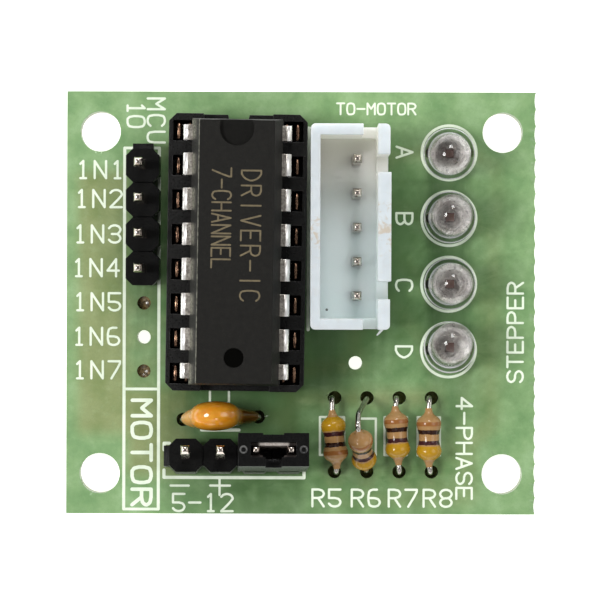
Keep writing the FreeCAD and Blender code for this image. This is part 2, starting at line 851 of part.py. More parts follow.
# ---------------------------------------------------------------- resistors
def resistor_outline():
    """Half the lacquer coat's outline along its axis: waist, bulge and the neck on the lead."""
    bulge = resistor_bulge_radius
    waist = resistor_waist_radius
    neck_end = resistor_half_length + resistor_neck_length
    top = (resistor_bulge_offset, bulge)
    into_bulge = (resistor_bulge_offset / 2, (bulge + waist) / 2)
    shoulder = (resistor_half_length, resistor_shoulder_radius)
    return top, into_bulge, shoulder, (neck_end, resistor_lead_radius + resistor_neck_film)


def resistor_coat():
    """A dog-bone coat, round about the Y axis."""
    top, into_bulge, shoulder, end = resistor_outline()

    def at(point, sign):
        return Vec(point[1], sign * point[0], 0)

    waist = Vec(resistor_waist_radius, 0, 0)
    edges = []
    for sign in (1, -1):
        curve = Part.BSplineCurve()
        curve.interpolate([waist, at(into_bulge, sign), at(top, sign),
                           at((resistor_half_length - resistor_end_inset, resistor_end_radius), sign),
                           at(shoulder, sign), at(end, sign)],
                          InitialTangent=Vec(0, sign, 0),
                          FinalTangent=Vec(-resistor_neck_slope, sign, 0))
        edges.append(curve.toShape())
        edges.append(Part.makeLine(at(end, sign), Vec(0, sign * end[0], 0)))
    edges.append(Part.makeLine(Vec(0, -end[0], 0), Vec(0, end[0], 0)))
    outline = Part.Wire(Part.__sortEdges__(edges))
    return Part.Face(outline).revolve(Vec(0, 0, 0), Vec(0, 1, 0), 360)


def resistor_core():
    return Part.makeCylinder(resistor_core_radius, 2 * resistor_core_half_length,
                             Vec(0, -resistor_core_half_length, 0), Vec(0, 1, 0))


def resistor_cap(sign):
    """A pressed cup over the end of the core."""
    inner = resistor_core_half_length + resistor_cap_wall - resistor_cap_length
    cup = Part.makeCylinder(resistor_cap_radius, resistor_cap_length, Vec(0, sign * inner, 0),
                            Vec(0, sign, 0))
    return cut(cup, [resistor_core()])


def resistor_lead(frame, sign, far_points, radii):
    """The lead from a cap's face along the points given on the board, with its cap."""
    face = resistor_core_half_length + resistor_cap_wall
    start = frame.multVec(Vec(0, sign * face, 0))
    lead = wire_lead([start] + far_points, radii, resistor_lead_radius)
    return fuse([placed(resistor_cap(sign), frame), lead])


def flat_resistor(layout):
    """A resistor that lies on the board, with its body a little askew between its holes."""
    north = resistor_hole(layout["column"], True)
    south = resistor_hole(layout["column"], False)
    bulge_n, bulge_s = layout["bulges"]
    lead_n, lead_s = layout["leads"]
    middle_y = (north[1] + south[1]) / 2 + layout["slide"]
    skew = math.degrees(math.atan2(bulge_s - bulge_n, 2 * resistor_bulge_offset))
    height = board_top + resistor_axis_height
    frame = Placement(Vec(north[0] + (bulge_n + bulge_s) / 2, middle_y, height),
                      Rotation(Vec(0, 0, 1), skew))
    neck = resistor_half_length + resistor_neck_length / 2
    leads = []
    for sign, hole, shift in ((1, north, lead_n), (-1, south, lead_s)):
        knee = frame.multVec(Vec(0, sign * neck, 0))
        x = hole[0] + shift
        points = [knee, Vec(x, hole[1], height), Vec(x, hole[1], -tail_length)]
        leads.append(resistor_lead(frame, sign, points, [resistor_knee_radius,
                                                         resistor_bend_radius]))
    return frame, leads


def raised_resistor():
    """The resistor that stands up at an angle on its south lead."""
    north = resistor_hole(raised_column, True)
    south = resistor_hole(raised_column, False)
    climb = math.radians(raised_elevation)
    height = (board_top + resistor_bulge_radius + raised_board_gap
              + resistor_bulge_offset * math.sin(climb))
    centre = Vec(south[0] + raised_shift_x, south[1] + raised_from_south_hole, height)
    turn = Rotation(Vec(0, 0, 1), -raised_bearing).multiply(Rotation(Vec(1, 0, 0),
                                                                     raised_elevation))
    frame = Placement(centre, turn)
    end = resistor_half_length + resistor_neck_length
    foot = frame.multVec(Vec(0, -end - raised_foot_length, 0))
    low_points = [foot, Vec(south[0], south[1], -tail_length)]
    low = resistor_lead(frame, -1, low_points, [resistor_bend_radius])
    crest = frame.multVec(Vec(0, end + raised_crest_length, 0))
    fall = Vec((crest.x + north[0]) / 2 + raised_fall_shift_x,
               crest.y + (north[1] - crest.y) * raised_fall_share, crest.z - raised_fall_drop)
    knee = Vec(*north, board_top) + Vec(*raised_knee)
    high_points = [crest, fall, knee, Vec(north[0], north[1], -tail_length)]
    high = resistor_lead(frame, 1, high_points, [resistor_bend_radius, raised_fall_radius,
                                                 raised_knee_radius])
    return frame, [high, low]


def resistor_parts(frame, leads):
    core = placed(resistor_core(), frame)
    coat = hollow(placed(resistor_coat(), frame), leads + [core])
    return {"coat": coat, "core": core, "leads": Part.makeCompound(leads)}


# ---------------------------------------------------------------- capacitor
def capacitor_disc():
    """A disc with crowned faces and a round rim, about the Y axis."""
    thick = capacitor_half_thickness
    rim = capacitor_rim_radius
    rim_centre = capacitor_body_radius - rim
    crown = (rim_centre ** 2 + thick ** 2 - rim ** 2) / (2 * (thick - rim))
    reach = rim / (crown - rim)
    join = (rim_centre * (1 + reach), (crown - thick) * reach)
    half_angle = math.asin(join[0] / crown) / 2
    way = (crown * math.sin(half_angle), thick - crown * (1 - math.cos(half_angle)))
    edges = [
        Part.Arc(Vec(0, thick, 0), Vec(*way, 0), Vec(*join, 0)).toShape(),
        Part.Arc(Vec(*join, 0), Vec(capacitor_body_radius, 0, 0), Vec(join[0], -join[1], 0)).toShape(),
        Part.Arc(Vec(join[0], -join[1], 0), Vec(way[0], -way[1], 0), Vec(0, -thick, 0)).toShape(),
        Part.makeLine(Vec(0, -thick, 0), Vec(0, thick, 0)),
    ]
    return Part.Face(Part.Wire(edges)).revolve(Vec(0, 0, 0), Vec(0, 1, 0), 360)


def capacitor_parts():
    """A dipped disc capacitor that stands across the board."""
    half = capacitor_hole_spacing / 2
    frame = Placement(Vec(capacitor_x, capacitor_y, board_top),
                      Rotation(Vec(0, 0, 1), capacitor_turn))
    middle = capacitor_board_gap + capacitor_body_radius
    shift = capacitor_body_shift
    body = capacitor_disc()
    body.translate(Vec(shift, 0, middle))
    top_reach, top_height = capacitor_skirt_top
    skirts = []
    leads = []
    for side in (-1, 1):
        top = Vec(shift + side * top_reach, 0, top_height)
        foot = Vec(side * (half - capacitor_skirt_foot_inset), 0, capacitor_skirt_foot_height)
        along = foot - top
        skirts.append(Part.makeCone(capacitor_skirt_top_radius, capacitor_skirt_foot_radius,
                                    along.Length, top, along))
        inner = Vec(shift + side * capacitor_chip_length / 2, 0, middle)
        entry = top + Vec(-side * capacitor_lead_entry_inset, 0, capacitor_lead_entry_rise)
        points = [inner + Vec(side * capacitor_lead_radius, 0, 0), entry,
                  Vec(side * half, 0, capacitor_knee_height),
                  Vec(side * half, 0, -board_thickness - tail_length)]
        leads.append(wire_lead(points, [capacitor_bend_radius, capacitor_bend_radius],
                               capacitor_lead_radius))
    chip = box((shift - capacitor_chip_length / 2, -capacitor_chip_thickness / 2,
                middle - capacitor_chip_height / 2),
               (shift + capacitor_chip_length / 2, capacitor_chip_thickness / 2,
                middle + capacitor_chip_height / 2))
    leads = [cut(lead, [chip]) for lead in leads]
    coat = hollow(fuse([body] + skirts), leads + [chip])
    parts = {"coat": coat, "chip": chip, "leads": Part.makeCompound(leads)}
    return {key: placed(shape, frame) for key, shape in parts.items()}


# ---------------------------------------------------------------- headers
def header_strip(ways, stub_end):
    """Eight-sided blocks along X joined by lower webs, with the stub of a broken web."""
    reach = header_width / 2
    chamfer = header_corner_chamfer
    outline = [(-reach, -reach + chamfer), (-reach + chamfer, -reach), (reach - chamfer, -reach),
               (reach, -reach + chamfer), (reach, reach - chamfer), (reach - chamfer, reach),
               (-reach + chamfer, reach), (-reach, reach - chamfer)]
    first = -(ways - 1) * pitch / 2
    blocks = []
    for n in range(ways):
        points = [Vec(first + n * pitch + x, y, 0) for x, y in outline]
        blocks.append(slab(points, Vec(0, 0, header_block_height)))
    web = box((first, -header_web_width / 2, header_web_low),
              (-first, header_web_width / 2, header_web_high))
    outer = stub_end * (-first + reach + header_stub_length)
    root = stub_end * -first
    stub = box((min(root, outer), -header_web_width / 2, header_web_low),
               (max(root, outer), header_web_width / 2, header_web_high))
    return fuse(blocks + [web, stub])


def header_pins(ways, low):
    first = -(ways - 1) * pitch / 2
    high = header_block_height + header_pin_above
    return [square_pin(first + n * pitch, 0, low, high) for n in range(ways)]


def input_header():
    x, first_y = input_hole(1)
    last_y = input_hole(input_fitted)[1]
    frame = Placement(Vec(x, (first_y + last_y) / 2, board_top), Rotation(Vec(0, 0, 1), 90))
    pins = header_pins(input_fitted, -board_thickness - tail_length)
    body = cut(header_strip(input_fitted, 1), pins)
    return placed(body, frame), [placed(pin, frame) for pin in pins]


def power_seat():
    middle_x = (power_hole(1)[0] + power_hole(power_ways)[0]) / 2
    reach_x = (power_ways - 1) * pitch / 2 + header_width / 2
    return leaning_seat(middle_x, power_y, power_lean_x, power_lean_y, reach_x, header_width / 2)


def power_header():
    frame, rise = power_seat()
    pins = header_pins(power_ways, tail_end(rise))
    body = cut(header_strip(power_ways, -1), pins)
    return placed(body, frame), [placed(pin, frame) for pin in pins]


# ---------------------------------------------------------------- jumper cap
def jumper_clip():
    """A folded spring strip that grips two pins and joins them, in the cap's own frame."""
    inner = pin_side / 2 + jumper_pin_gap
    outer = inner + jumper_clip_sheet
    end = pitch / 2 + outer
    leaf = jumper_leaf_length / 2
    outline = [(-end, outer), (end, outer), (end, -outer), (pitch / 2 - leaf, -outer),
               (pitch / 2 - leaf, -inner), (end - jumper_clip_sheet, -inner),
               (end - jumper_clip_sheet, inner), (-end + jumper_clip_sheet, inner),
               (-end + jumper_clip_sheet, -inner), (-pitch / 2 + leaf, -inner),
               (-pitch / 2 + leaf, -outer), (-end, -outer)]
    high = jumper_height - jumper_roof
    points = [Vec(x, y, jumper_clip_low) for x, y in outline]
    return slab(points, Vec(0, 0, high - jumper_clip_low))


def jumper_shell():
    """A cap open below, with a window over the pins and a slot down the middle of its south side."""
    outer_y = pin_side / 2 + jumper_pin_gap + jumper_clip_sheet + jumper_clip_fit
    outer_x = pitch / 2 + outer_y
    shell = block(0, 0, 0, 2 * pitch, jumper_width, jumper_height)
    cavity = block(0, 0, -past, 2 * outer_x, 2 * outer_y, past + jumper_height - jumper_roof)
    window_length = pitch + pin_side + 2 * jumper_window_gap
    window = block(0, 0, jumper_height - jumper_roof - past, window_length,
                   jumper_window_width, jumper_roof + 2 * past)
    recess = box((-jumper_recess_length / 2, jumper_width / 2 - jumper_recess_depth,
                  jumper_height - jumper_recess_height),
                 (jumper_recess_length / 2, jumper_width, jumper_height + past))
    slot = box((-jumper_slot_width / 2, -jumper_width, jumper_height - jumper_slot_depth),
               (jumper_slot_width / 2, 0, jumper_height + past))
    return cut(shell, [cavity, window, recess, slot])


def jumper_parts():
    frame, _ = power_seat()
    last_pair = (power_ways - 2) * pitch / 2
    on_header = Placement(Vec(last_pair, 0, header_block_height + seat_gap), Rotation())
    place = frame.multiply(on_header)
    return placed(jumper_shell(), place), placed(jumper_clip(), place)


# ---------------------------------------------------------------- the whole module
def build():
    nodes = {"circuit_board": circuit_board(), "copper_tracks": copper_tracks()}
    joints = []

    contacts = [placed(socket_contact(side, y), ic_frame()) for side, y in leg_places()]
    nodes["driver_socket_body"] = placed(socket_body(), ic_frame())
    nodes["driver_socket_contacts"] = Part.makeCompound(contacts)
    joints += [(*ic_hole(leg), socket_hole_diameter, contacts) for leg in range(1, 17)]

    legs = {side: [ic_leg(s, y) for s, y in leg_places() if s == side] for side in (-1, 1)}
    paddle = ic_paddle()
    die = ic_die()
    case = ic_case(legs[-1] + legs[1] + [paddle, die])
    nodes["driver_ic_case"] = placed(case, ic_frame())
    nodes["driver_ic_leads_left"] = placed(Part.makeCompound(legs[-1]), ic_frame())
    nodes["driver_ic_leads_right"] = placed(Part.makeCompound(legs[1]), ic_frame())
    nodes["driver_ic_paddle"] = placed(paddle, ic_frame())
    nodes["driver_ic_die"] = placed(die, ic_frame())

    motor_pins = [motor_pin(n) for n in range(1, motor_ways + 1)]
    nodes["motor_connector_housing"] = motor_housing(motor_pins)
    nodes["motor_connector_pins"] = Part.makeCompound(motor_pins)
    joints += [(*motor_hole(n), pin_hole_diameter, [motor_pins[n - 1]])
               for n in range(1, motor_ways + 1)]

    for name in lamp_leans:
        parts = lamp_parts(name)
        for key, shape in parts.items():
            nodes["lamp_" + name + "_" + key] = shape
        joints.append((*lamp_hole(name, -1), lamp_hole_diameter, [parts["cathode"]]))
        joints.append((*lamp_hole(name, 1), lamp_hole_diameter, [parts["anode"]]))

    placements = {name: flat_resistor(layout) for name, layout in flat_resistors.items()}
    placements["r6"] = raised_resistor()
    columns = {name: layout["column"] for name, layout in flat_resistors.items()}
    columns["r6"] = raised_column
    for name, (frame, leads) in placements.items():
        for key, shape in resistor_parts(frame, leads).items():
            nodes["resistor_" + name + "_" + key] = shape
        joints += [(*resistor_hole(columns[name], north), resistor_hole_diameter, leads)
                   for north in (True, False)]

    capacitor = capacitor_parts()
    for key, shape in capacitor.items():
        nodes["capacitor_" + key] = shape
    joints += [(*capacitor_hole(side), resistor_hole_diameter, [capacitor["leads"]])
               for side in (-1, 1)]

    nodes["input_header_body"], input_pins = input_header()
    nodes["input_header_pins"] = Part.makeCompound(input_pins)
    joints += [(*input_hole(n), pin_hole_diameter, input_pins)
               for n in range(1, input_fitted + 1)]
    blocked = [input_fitted + 1, input_ways]
    joints += [(*input_hole(n), pin_hole_diameter, []) for n in blocked]

    nodes["power_header_body"], power_pins = power_header()
    nodes["power_header_pins"] = Part.makeCompound(power_pins)
    joints += [(*power_hole(n), leaning_hole_diameter, [power_pins[n - 1]])
               for n in range(1, power_ways + 1)]

    nodes["jumper_shell"], nodes["jumper_clip"] = jumper_parts()
    nodes["solder_joints"] = Part.makeCompound([solder_cone(*joint) for joint in joints])
    return nodes


os.makedirs("parts", exist_ok=True)
for node, shape in build().items():
    shape.exportStep("parts/" + node + ".step")
    volume = sum(solid.Volume for solid in shape.Solids)
    print(f"{node:28s} solids {len(shape.Solids):3d} volume {volume:9.3f} valid {shape.isValid()}")

slide_axis = power_seat()[0].Rotation.multVec(Vec(0, 0, 1))
print("jumper slides along", round(slide_axis.x, 5), round(slide_axis.y, 5), round(slide_axis.z, 5))
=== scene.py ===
import json
import math

import bmesh
import bpy
from mathutils import Matrix, Vector
from mathutils.bvhtree import BVHTree

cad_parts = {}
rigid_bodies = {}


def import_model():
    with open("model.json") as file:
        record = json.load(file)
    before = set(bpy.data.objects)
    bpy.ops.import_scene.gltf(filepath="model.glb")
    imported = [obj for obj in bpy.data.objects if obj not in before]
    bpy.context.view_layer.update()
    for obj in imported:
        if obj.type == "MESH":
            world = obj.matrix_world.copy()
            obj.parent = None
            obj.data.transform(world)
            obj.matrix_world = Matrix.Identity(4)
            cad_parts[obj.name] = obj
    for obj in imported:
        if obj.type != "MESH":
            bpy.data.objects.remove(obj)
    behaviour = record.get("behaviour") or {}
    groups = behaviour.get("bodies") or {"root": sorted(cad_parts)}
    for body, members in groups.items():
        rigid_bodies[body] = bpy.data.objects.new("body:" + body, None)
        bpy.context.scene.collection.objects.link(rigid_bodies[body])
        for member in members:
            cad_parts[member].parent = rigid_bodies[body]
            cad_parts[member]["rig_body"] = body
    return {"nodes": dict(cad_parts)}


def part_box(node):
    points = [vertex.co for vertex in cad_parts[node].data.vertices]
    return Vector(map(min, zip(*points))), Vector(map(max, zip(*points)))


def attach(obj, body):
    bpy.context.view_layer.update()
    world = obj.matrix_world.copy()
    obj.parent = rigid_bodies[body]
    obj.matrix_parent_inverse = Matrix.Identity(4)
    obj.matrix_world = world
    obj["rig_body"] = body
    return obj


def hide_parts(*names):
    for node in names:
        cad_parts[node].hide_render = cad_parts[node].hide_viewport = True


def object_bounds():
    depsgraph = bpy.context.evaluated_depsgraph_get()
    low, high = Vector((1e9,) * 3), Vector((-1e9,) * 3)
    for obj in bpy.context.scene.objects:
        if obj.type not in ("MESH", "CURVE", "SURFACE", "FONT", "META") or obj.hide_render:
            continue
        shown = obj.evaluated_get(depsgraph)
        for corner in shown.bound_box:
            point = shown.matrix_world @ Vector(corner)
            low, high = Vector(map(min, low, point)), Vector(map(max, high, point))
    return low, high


# Stepper driver module. Lengths in this file are millimetres in the part's own frame, turned
# into metres where a mesh or a light is made.
MM = 0.001

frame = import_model()
cad_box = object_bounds()
nodes = frame["nodes"]


def low_high(node):
    low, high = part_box(node)
    return low / MM, high / MM


BOARD_LOW, BOARD_HIGH = low_high("circuit_board")
BOARD_TOP = low_high("input_header_body")[0].z  # the header's block stands on the board
PITCH = 2.54  # between pins, and between the chip's legs


# ---- materials
class Look:
    """A principled material with its nodes. Textures take the piece's own coordinates in mm."""

    def __init__(self, name, **values):
        self.material = bpy.data.materials.new(name)
        self.material.use_nodes = True
        self.tree = self.material.node_tree
        self.shader = self.tree.nodes["Principled BSDF"]
        for key, value in values.items():
            self.shader.inputs[key.replace("_", " ")].default_value = value
        coordinates = self.tree.nodes.new("ShaderNodeTexCoord")
        scale = self.tree.nodes.new("ShaderNodeVectorMath")
        scale.operation = "SCALE"
        scale.inputs["Scale"].default_value = 1 / MM
        self.link(coordinates.outputs["Object"], scale.inputs[0])
        self.place = scale.outputs["Vector"]

    def link(self, source, target):
        self.tree.links.new(source, target)

    def to_shader(self, **sources):
        for key, source in sources.items():
            self.link(source, self.shader.inputs[key.replace("_", " ")])

    def noise(self, scale, detail=3.0, roughness=0.55, stretch=None, distortion=0.0):
        node = self.tree.nodes.new("ShaderNodeTexNoise")
        node.inputs["Scale"].default_value = scale
        node.inputs["Detail"].default_value = detail
        node.inputs["Roughness"].default_value = roughness
        node.inputs["Distortion"].default_value = distortion
        self.link(self.stretched(stretch) if stretch else self.place, node.inputs["Vector"])
        return node.outputs["Fac"]

    def wave(self, scale, direction, distortion=0.0):
        node = self.tree.nodes.new("ShaderNodeTexWave")
        node.bands_direction = direction
        node.inputs["Scale"].default_value = scale
        node.inputs["Distortion"].default_value = distortion
        self.link(self.place, node.inputs["Vector"])
        return node.outputs["Fac"]

    def stretched(self, factors):
        node = self.tree.nodes.new("ShaderNodeVectorMath")
        node.operation = "MULTIPLY"
        node.inputs[1].default_value = factors
        self.link(self.place, node.inputs[0])
        return node.outputs["Vector"]

    def math(self, operation, a, b=None):
        node = self.tree.nodes.new("ShaderNodeMath")
        node.operation = operation
        for index, value in enumerate((a, b)):
            if value is None:
                continue
            if isinstance(value, (int, float)):
                node.inputs[index].default_value = value
            else:
                self.link(value, node.inputs[index])
        return node.outputs["Value"]

    def times(self, a, b):
        return self.math("MULTIPLY", a, b)

    def plus(self, a, b):
        return self.math("ADD", a, b)

    def minus(self, a, b):
        return self.math("SUBTRACT", a, b)

    def ranged(self, value, low, high, out_low=0.0, out_high=1.0, smooth=True):
        node = self.tree.nodes.new("ShaderNodeMapRange")
        node.interpolation_type = "SMOOTHSTEP" if smooth else "LINEAR"
        for key, number in (("From Min", low), ("From Max", high), ("To Min", out_low),
                            ("To Max", out_high)):
            node.inputs[key].default_value = number
        self.link(value, node.inputs["Value"])
        return node.outputs["Result"]

    def attribute(self, name):
        node = self.tree.nodes.new("ShaderNodeAttribute")
        node.attribute_name = name
        return node.outputs["Fac"]

    def axis(self, letter):
        node = self.tree.nodes.new("ShaderNodeSeparateXYZ")
        self.link(self.place, node.inputs["Vector"])
        return node.outputs[letter]

    def mix(self, factor, a, b):
        node = self.tree.nodes.new("ShaderNodeMix")
        node.data_type = "RGBA"
        self.link(factor, node.inputs["Factor"])
        for key, value in (("A", a), ("B", b)):
            socket = [s for s in node.inputs if s.name == key and s.type == "RGBA"][0]
            if isinstance(value, tuple):
                socket.default_value = (*value, 1.0)
            else:
                self.link(value, socket)
        return [s for s in node.outputs if s.type == "RGBA"][0]

    def ramp(self, value, stops, constant=False):
        node = self.tree.nodes.new("ShaderNodeValToRGB")
        ramp = node.color_ramp
        ramp.interpolation = "CONSTANT" if constant else "LINEAR"
        while len(ramp.elements) < len(stops):
            ramp.elements.new(0.5)
        for element, (position, colour) in zip(ramp.elements, stops):
            element.position = position
            element.color = (*colour, 1.0)
        self.link(value, node.inputs["Fac"])
        return node.outputs["Color"]

    def bump(self, height, strength, distance):
        node = self.tree.nodes.new("ShaderNodeBump")
        node.inputs["Strength"].default_value = strength
        node.inputs["Distance"].default_value = distance * MM
        self.link(height, node.inputs["Height"])
        return node.outputs["Normal"]


def srgb(red, green, blue):
    """A display colour out of 255, as linear light."""
    def linear(value):
        value /= 255
        return value / 12.92 if value <= 0.04045 else ((value + 0.055) / 1.055) ** 2.4
    return linear(red), linear(green), linear(blue)


def board_look():
    """Green resist over glass cloth: olive where copper lies under it, darker between tall parts as
    painted shade.
    """
    look = Look("look_board", Roughness=0.36, IOR=1.5, Coat_Weight=0.25, Coat_Roughness=0.12)
    copper = look.attribute("copper")
    cloud = look.noise(0.45, 3.0)
    blotch = look.noise(1.9, 4.0, 0.6)
    fine = look.noise(9.0, 3.0, 0.6)
    bare = look.ramp(cloud, [(0.3, srgb(110, 148, 96)), (0.52, srgb(130, 164, 112)),
                             (0.75, srgb(150, 182, 134))])
    plated = look.ramp(cloud, [(0.3, srgb(122, 138, 84)), (0.52, srgb(138, 150, 100)),
                               (0.75, srgb(150, 163, 114))])
    colour = look.mix(copper, bare, plated)
    stain = look.ranged(blotch, 0.5, 0.72)
    colour = look.mix(look.times(stain, 0.12), colour, srgb(176, 200, 156))
    grain = look.ranged(fine, 0.42, 0.75)
    colour = look.mix(look.times(grain, 0.16), colour, srgb(84, 112, 66))
    # painted shade: the laminate turns darker green where tall parts stand over the point, shifted by
    # SHADE_SHIFT, as if they cast shadows on it
    unlit = look.ranged(look.attribute("shaded"), 0.0, 0.56, 0.0, 0.8, smooth=False)
    colour = look.mix(unlit, colour, srgb(50, 88, 34))
    depth = look.ranged(look.axis("Z"), BOARD_LOW.z + 0.2, BOARD_TOP - 0.05)
    colour = look.mix(depth, srgb(128, 140, 84), colour)
    weave = look.plus(look.wave(0.62, "X", 0.6), look.wave(0.62, "Y", 0.6))
    height = look.plus(look.times(weave, 0.25), blotch)
    look.to_shader(Base_Color=colour, Normal=look.bump(height, 0.25, 0.03))
    look.to_shader(Roughness=look.ranged(fine, 0.3, 0.7, 0.3, 0.46))
    return look.material


def underside_copper_look():
    """Copper under green resist."""
    look = Look("look_masked_copper", Roughness=0.3, IOR=1.5, Coat_Weight=0.4, Coat_Roughness=0.1)
    cloud = look.noise(0.8, 3.0)
    colour = look.ramp(cloud, [(0.3, srgb(96, 126, 58)), (0.7, srgb(128, 154, 80))])
    look.to_shader(Base_Color=colour)
    look.to_shader(Normal=look.bump(look.noise(3.0, 2.0), 0.3, 0.02))
    return look.material


def metal_look(name, dark, light, rough_low, rough_high, scale, strength=0.25, depth=0.01):
    look = Look(name, Metallic=1.0)
    patches = look.noise(scale, 4.0, 0.6)
    streaks = look.noise(scale * 2.5, 2.0, 0.5, stretch=(1.0, 1.0, 0.25))
    look.to_shader(Base_Color=look.ramp(patches, [(0.3, dark), (0.7, light)]))
    look.to_shader(Roughness=look.ranged(streaks, 0.3, 0.7, rough_low, rough_high))
    look.to_shader(Normal=look.bump(streaks, strength, depth))
    return look.material


FLUX_DEPTH = (0.16, 0.08)  # flux covers the solder from this far under the board upwards


def solder_look():
    """Bright solder below the board, under pale flux where it shows down the holes."""
    look = Look("look_solder", Specular_IOR_Level=0.15)
    patches = look.noise(1.6, 4.0, 0.6)
    metal = look.ramp(patches, [(0.3, (0.62, 0.61, 0.59)), (0.7, (0.85, 0.84, 0.82))])
    flux = look.ranged(look.axis("Z"), BOARD_LOW.z - FLUX_DEPTH[0], BOARD_LOW.z - FLUX_DEPTH[1])
    resin = look.ramp(look.noise(5.0, 3.0), [(0.35, srgb(150, 158, 84)), (0.65, srgb(200, 198, 124))])
    look.to_shader(Base_Color=look.mix(flux, metal, resin))
    look.to_shader(Metallic=look.minus(1.0, flux))
    look.to_shader(Roughness=look.ranged(patches, 0.3, 0.7, 0.18, 0.4))
    look.to_shader(Normal=look.bump(look.noise(2.2, 3.0), 0.4, 0.04))
    return look.material


def plastic_look(name, dark, light, rough_low, rough_high, scale, strength, depth, **values):
    look = Look(name, **values)
    patches = look.noise(scale * 0.15, 3.0)
    grain = look.noise(scale, 4.0, 0.65)
    look.to_shader(Base_Color=look.ramp(patches, [(0.32, dark), (0.68, light)]))
    look.to_shader(Roughness=look.ranged(grain, 0.35, 0.65, rough_low, rough_high))
    look.to_shader(Normal=look.bump(grain, strength, depth))
    return look.material


SPECK = (1.9, -0.5)  # a speck of dirt on the connector's floor
CAVITY_RIM = (7.9, 8.45)  # heights between which the painted light below the rim gives way to the wall tops' colour
STAIN_Y = 5.6  # the middle of the stains that handling left on the long walls


def nylon_look():
    """Milky nylon, bluer and greyer on the wall tops than down in the hollow, where painted light
    makes it much lighter as if light came through the walls, with stains on the rim and one speck.
    """
    look = Look("look_nylon", Roughness=0.42, IOR=1.53, Subsurface_Weight=0.9,
                Subsurface_Scale=2.2 * MM, Subsurface_Radius=(0.95, 1.0, 0.95))
    cloud = look.noise(0.6, 3.0)
    height = look.axis("Z")
    along = look.axis("Y")
    outside = look.ramp(cloud, [(0.3, srgb(188, 195, 200)), (0.7, srgb(199, 206, 211))])
    warm = look.ranged(along, 4.0, 12.0)
    # painted light: everything below the rim is painted much lighter than the wall tops, standing in
    # for light that passes through the nylon into the hollow
    lit_cavity = look.mix(warm, srgb(235, 250, 250), srgb(242, 241, 231))
    rim = look.ranged(height, *CAVITY_RIM)
    white = look.mix(rim, lit_cavity, outside)
    smear = look.noise(1.6, 4.0, 0.65, distortion=0.6)
    from_stain = look.math("ABSOLUTE", look.minus(along, STAIN_Y))
    handled = look.ranged(from_stain, 2.6, 1.4, 0.12, 1.0)
    worn = look.times(look.ranged(smear, 0.5, 0.66), look.times(rim, handled))
    colour = look.mix(look.times(worn, 0.55), white, srgb(178, 150, 110))
    offsets = [look.minus(look.axis("X"), SPECK[0]), look.minus(along, SPECK[1])]
    squares = [look.math("POWER", offset, 2.0) for offset in offsets]
    speck = look.ranged(look.plus(*squares), 0.012, 0.006)
    colour = look.mix(look.times(speck, 0.85), colour, srgb(40, 38, 36))
    look.to_shader(Base_Color=colour, Normal=look.bump(look.noise(6.0, 3.0), 0.2, 0.02))
    look.to_shader(Roughness=look.ranged(cloud, 0.3, 0.7, 0.36, 0.5))
    return look.material


def floor_look():
    look = Look("look_floor", Roughness=0.7, Specular_IOR_Level=0.2,
                Emission_Color=(1.0, 1.0, 1.0, 1.0), Emission_Strength=0.85)
    paper = look.noise(0.08, 4.0)
    look.to_shader(Base_Color=look.ramp(paper, [(0.3, (0.86, 0.86, 0.86)), (0.7, (0.9, 0.9, 0.9))]))
    return look.material


# ---- mesh helpers
def add_object(name, mesh, material, body, replaces=()):
    obj = bpy.data.objects.new(name, mesh)
    bpy.context.scene.collection.objects.link(obj)
    mesh.materials.clear()
    mesh.materials.append(material)
    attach(obj, body)
    if replaces:
        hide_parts(*replaces)
    return obj


def finished(bm, name, smooth_angle=None):
    """A mesh made from bm, in metres, with faces smooth up to an angle in degrees."""
    mesh = bpy.data.meshes.new(name)
    bm.to_mesh(mesh)
    bm.free()
    if smooth_angle is not None:
        mesh.shade_smooth()
        mesh.set_sharp_from_angle(angle=math.radians(smooth_angle))
    return mesh


def welded(node):
    """A CAD node's shape with its triangles joined back into flat faces."""
    bm = bmesh.new()
    bm.from_mesh(nodes[node].data)
    bmesh.ops.remove_doubles(bm, verts=bm.verts, dist=0.002 * MM)
    bmesh.ops.dissolve_limit(bm, angle_limit=math.radians(1.5), verts=bm.verts, edges=bm.edges)
    return bm


def refined(node, name, material, round_width, segments=2, corner=32):
    """A CAD node's shape with its sharp edges rounded as moulding or pressing leaves them."""
    bm = welded(node)
    mesh = finished(bm, name)
    mesh.shade_smooth()
    obj = add_object(name, mesh, material, nodes[node]["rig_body"], [node])
    bevel = obj.modifiers.new("rounded_edges", "BEVEL")
    bevel.width = round_width * MM
    bevel.segments = segments
    bevel.limit_method = "ANGLE"
    bevel.angle_limit = math.radians(corner)
    bevel.use_clamp_overlap = True
    normals = obj.modifiers.new("flat_faces", "WEIGHTED_NORMAL")
    normals.keep_sharp = True
    return obj


def dressed(node, material):
    """The CAD node itself, with a finished material."""
    slots = nodes[node].data.materials
    for index in range(len(slots)):
        slots[index] = material


def lathe(profile, segments=64):
    """A closed round body from (distance along its axis, radius) pairs, about +Z."""
    bm = bmesh.new()
    rings = []
    for along, radius in profile:
        if radius < 1e-6:
            rings.append([bm.verts.new((0, 0, along * MM))])
            continue
        ring = []
        for n in range(segments):
            angle = 2 * math.pi * n / segments
            ring.append(bm.verts.new((radius * math.cos(angle) * MM,
                                      radius * math.sin(angle) * MM, along * MM)))
        rings.append(ring)
    for one, two in zip(rings, rings[1:]):
        for n in range(segments):
            after = (n + 1) % segments
            corners = [one[n % len(one)], one[after % len(one)],
                       two[after % len(two)], two[n % len(two)]]
            unique = list(dict.fromkeys(corners))
            if len(unique) > 2:
                bm.faces.new(unique)
    bmesh.ops.recalc_face_normals(bm, faces=bm.faces)
    return bm


def about(axis, degrees):
    return Matrix.Rotation(math.radians(degrees), 4, axis)


def moved(bm, place):
    """The same mesh, in metres, moved by a placement given in mm."""
    place = place.copy()
    place.translation = place.translation * MM
    bmesh.ops.transform(bm, matrix=place, verts=bm.verts)
    return bm


def join(bm, other):
    """Adds another mesh to bm."""
    part = bpy.data.meshes.new("part")
    other.to_mesh(part)
    other.free()
    bm.from_mesh(part)
    bpy.data.meshes.remove(part)


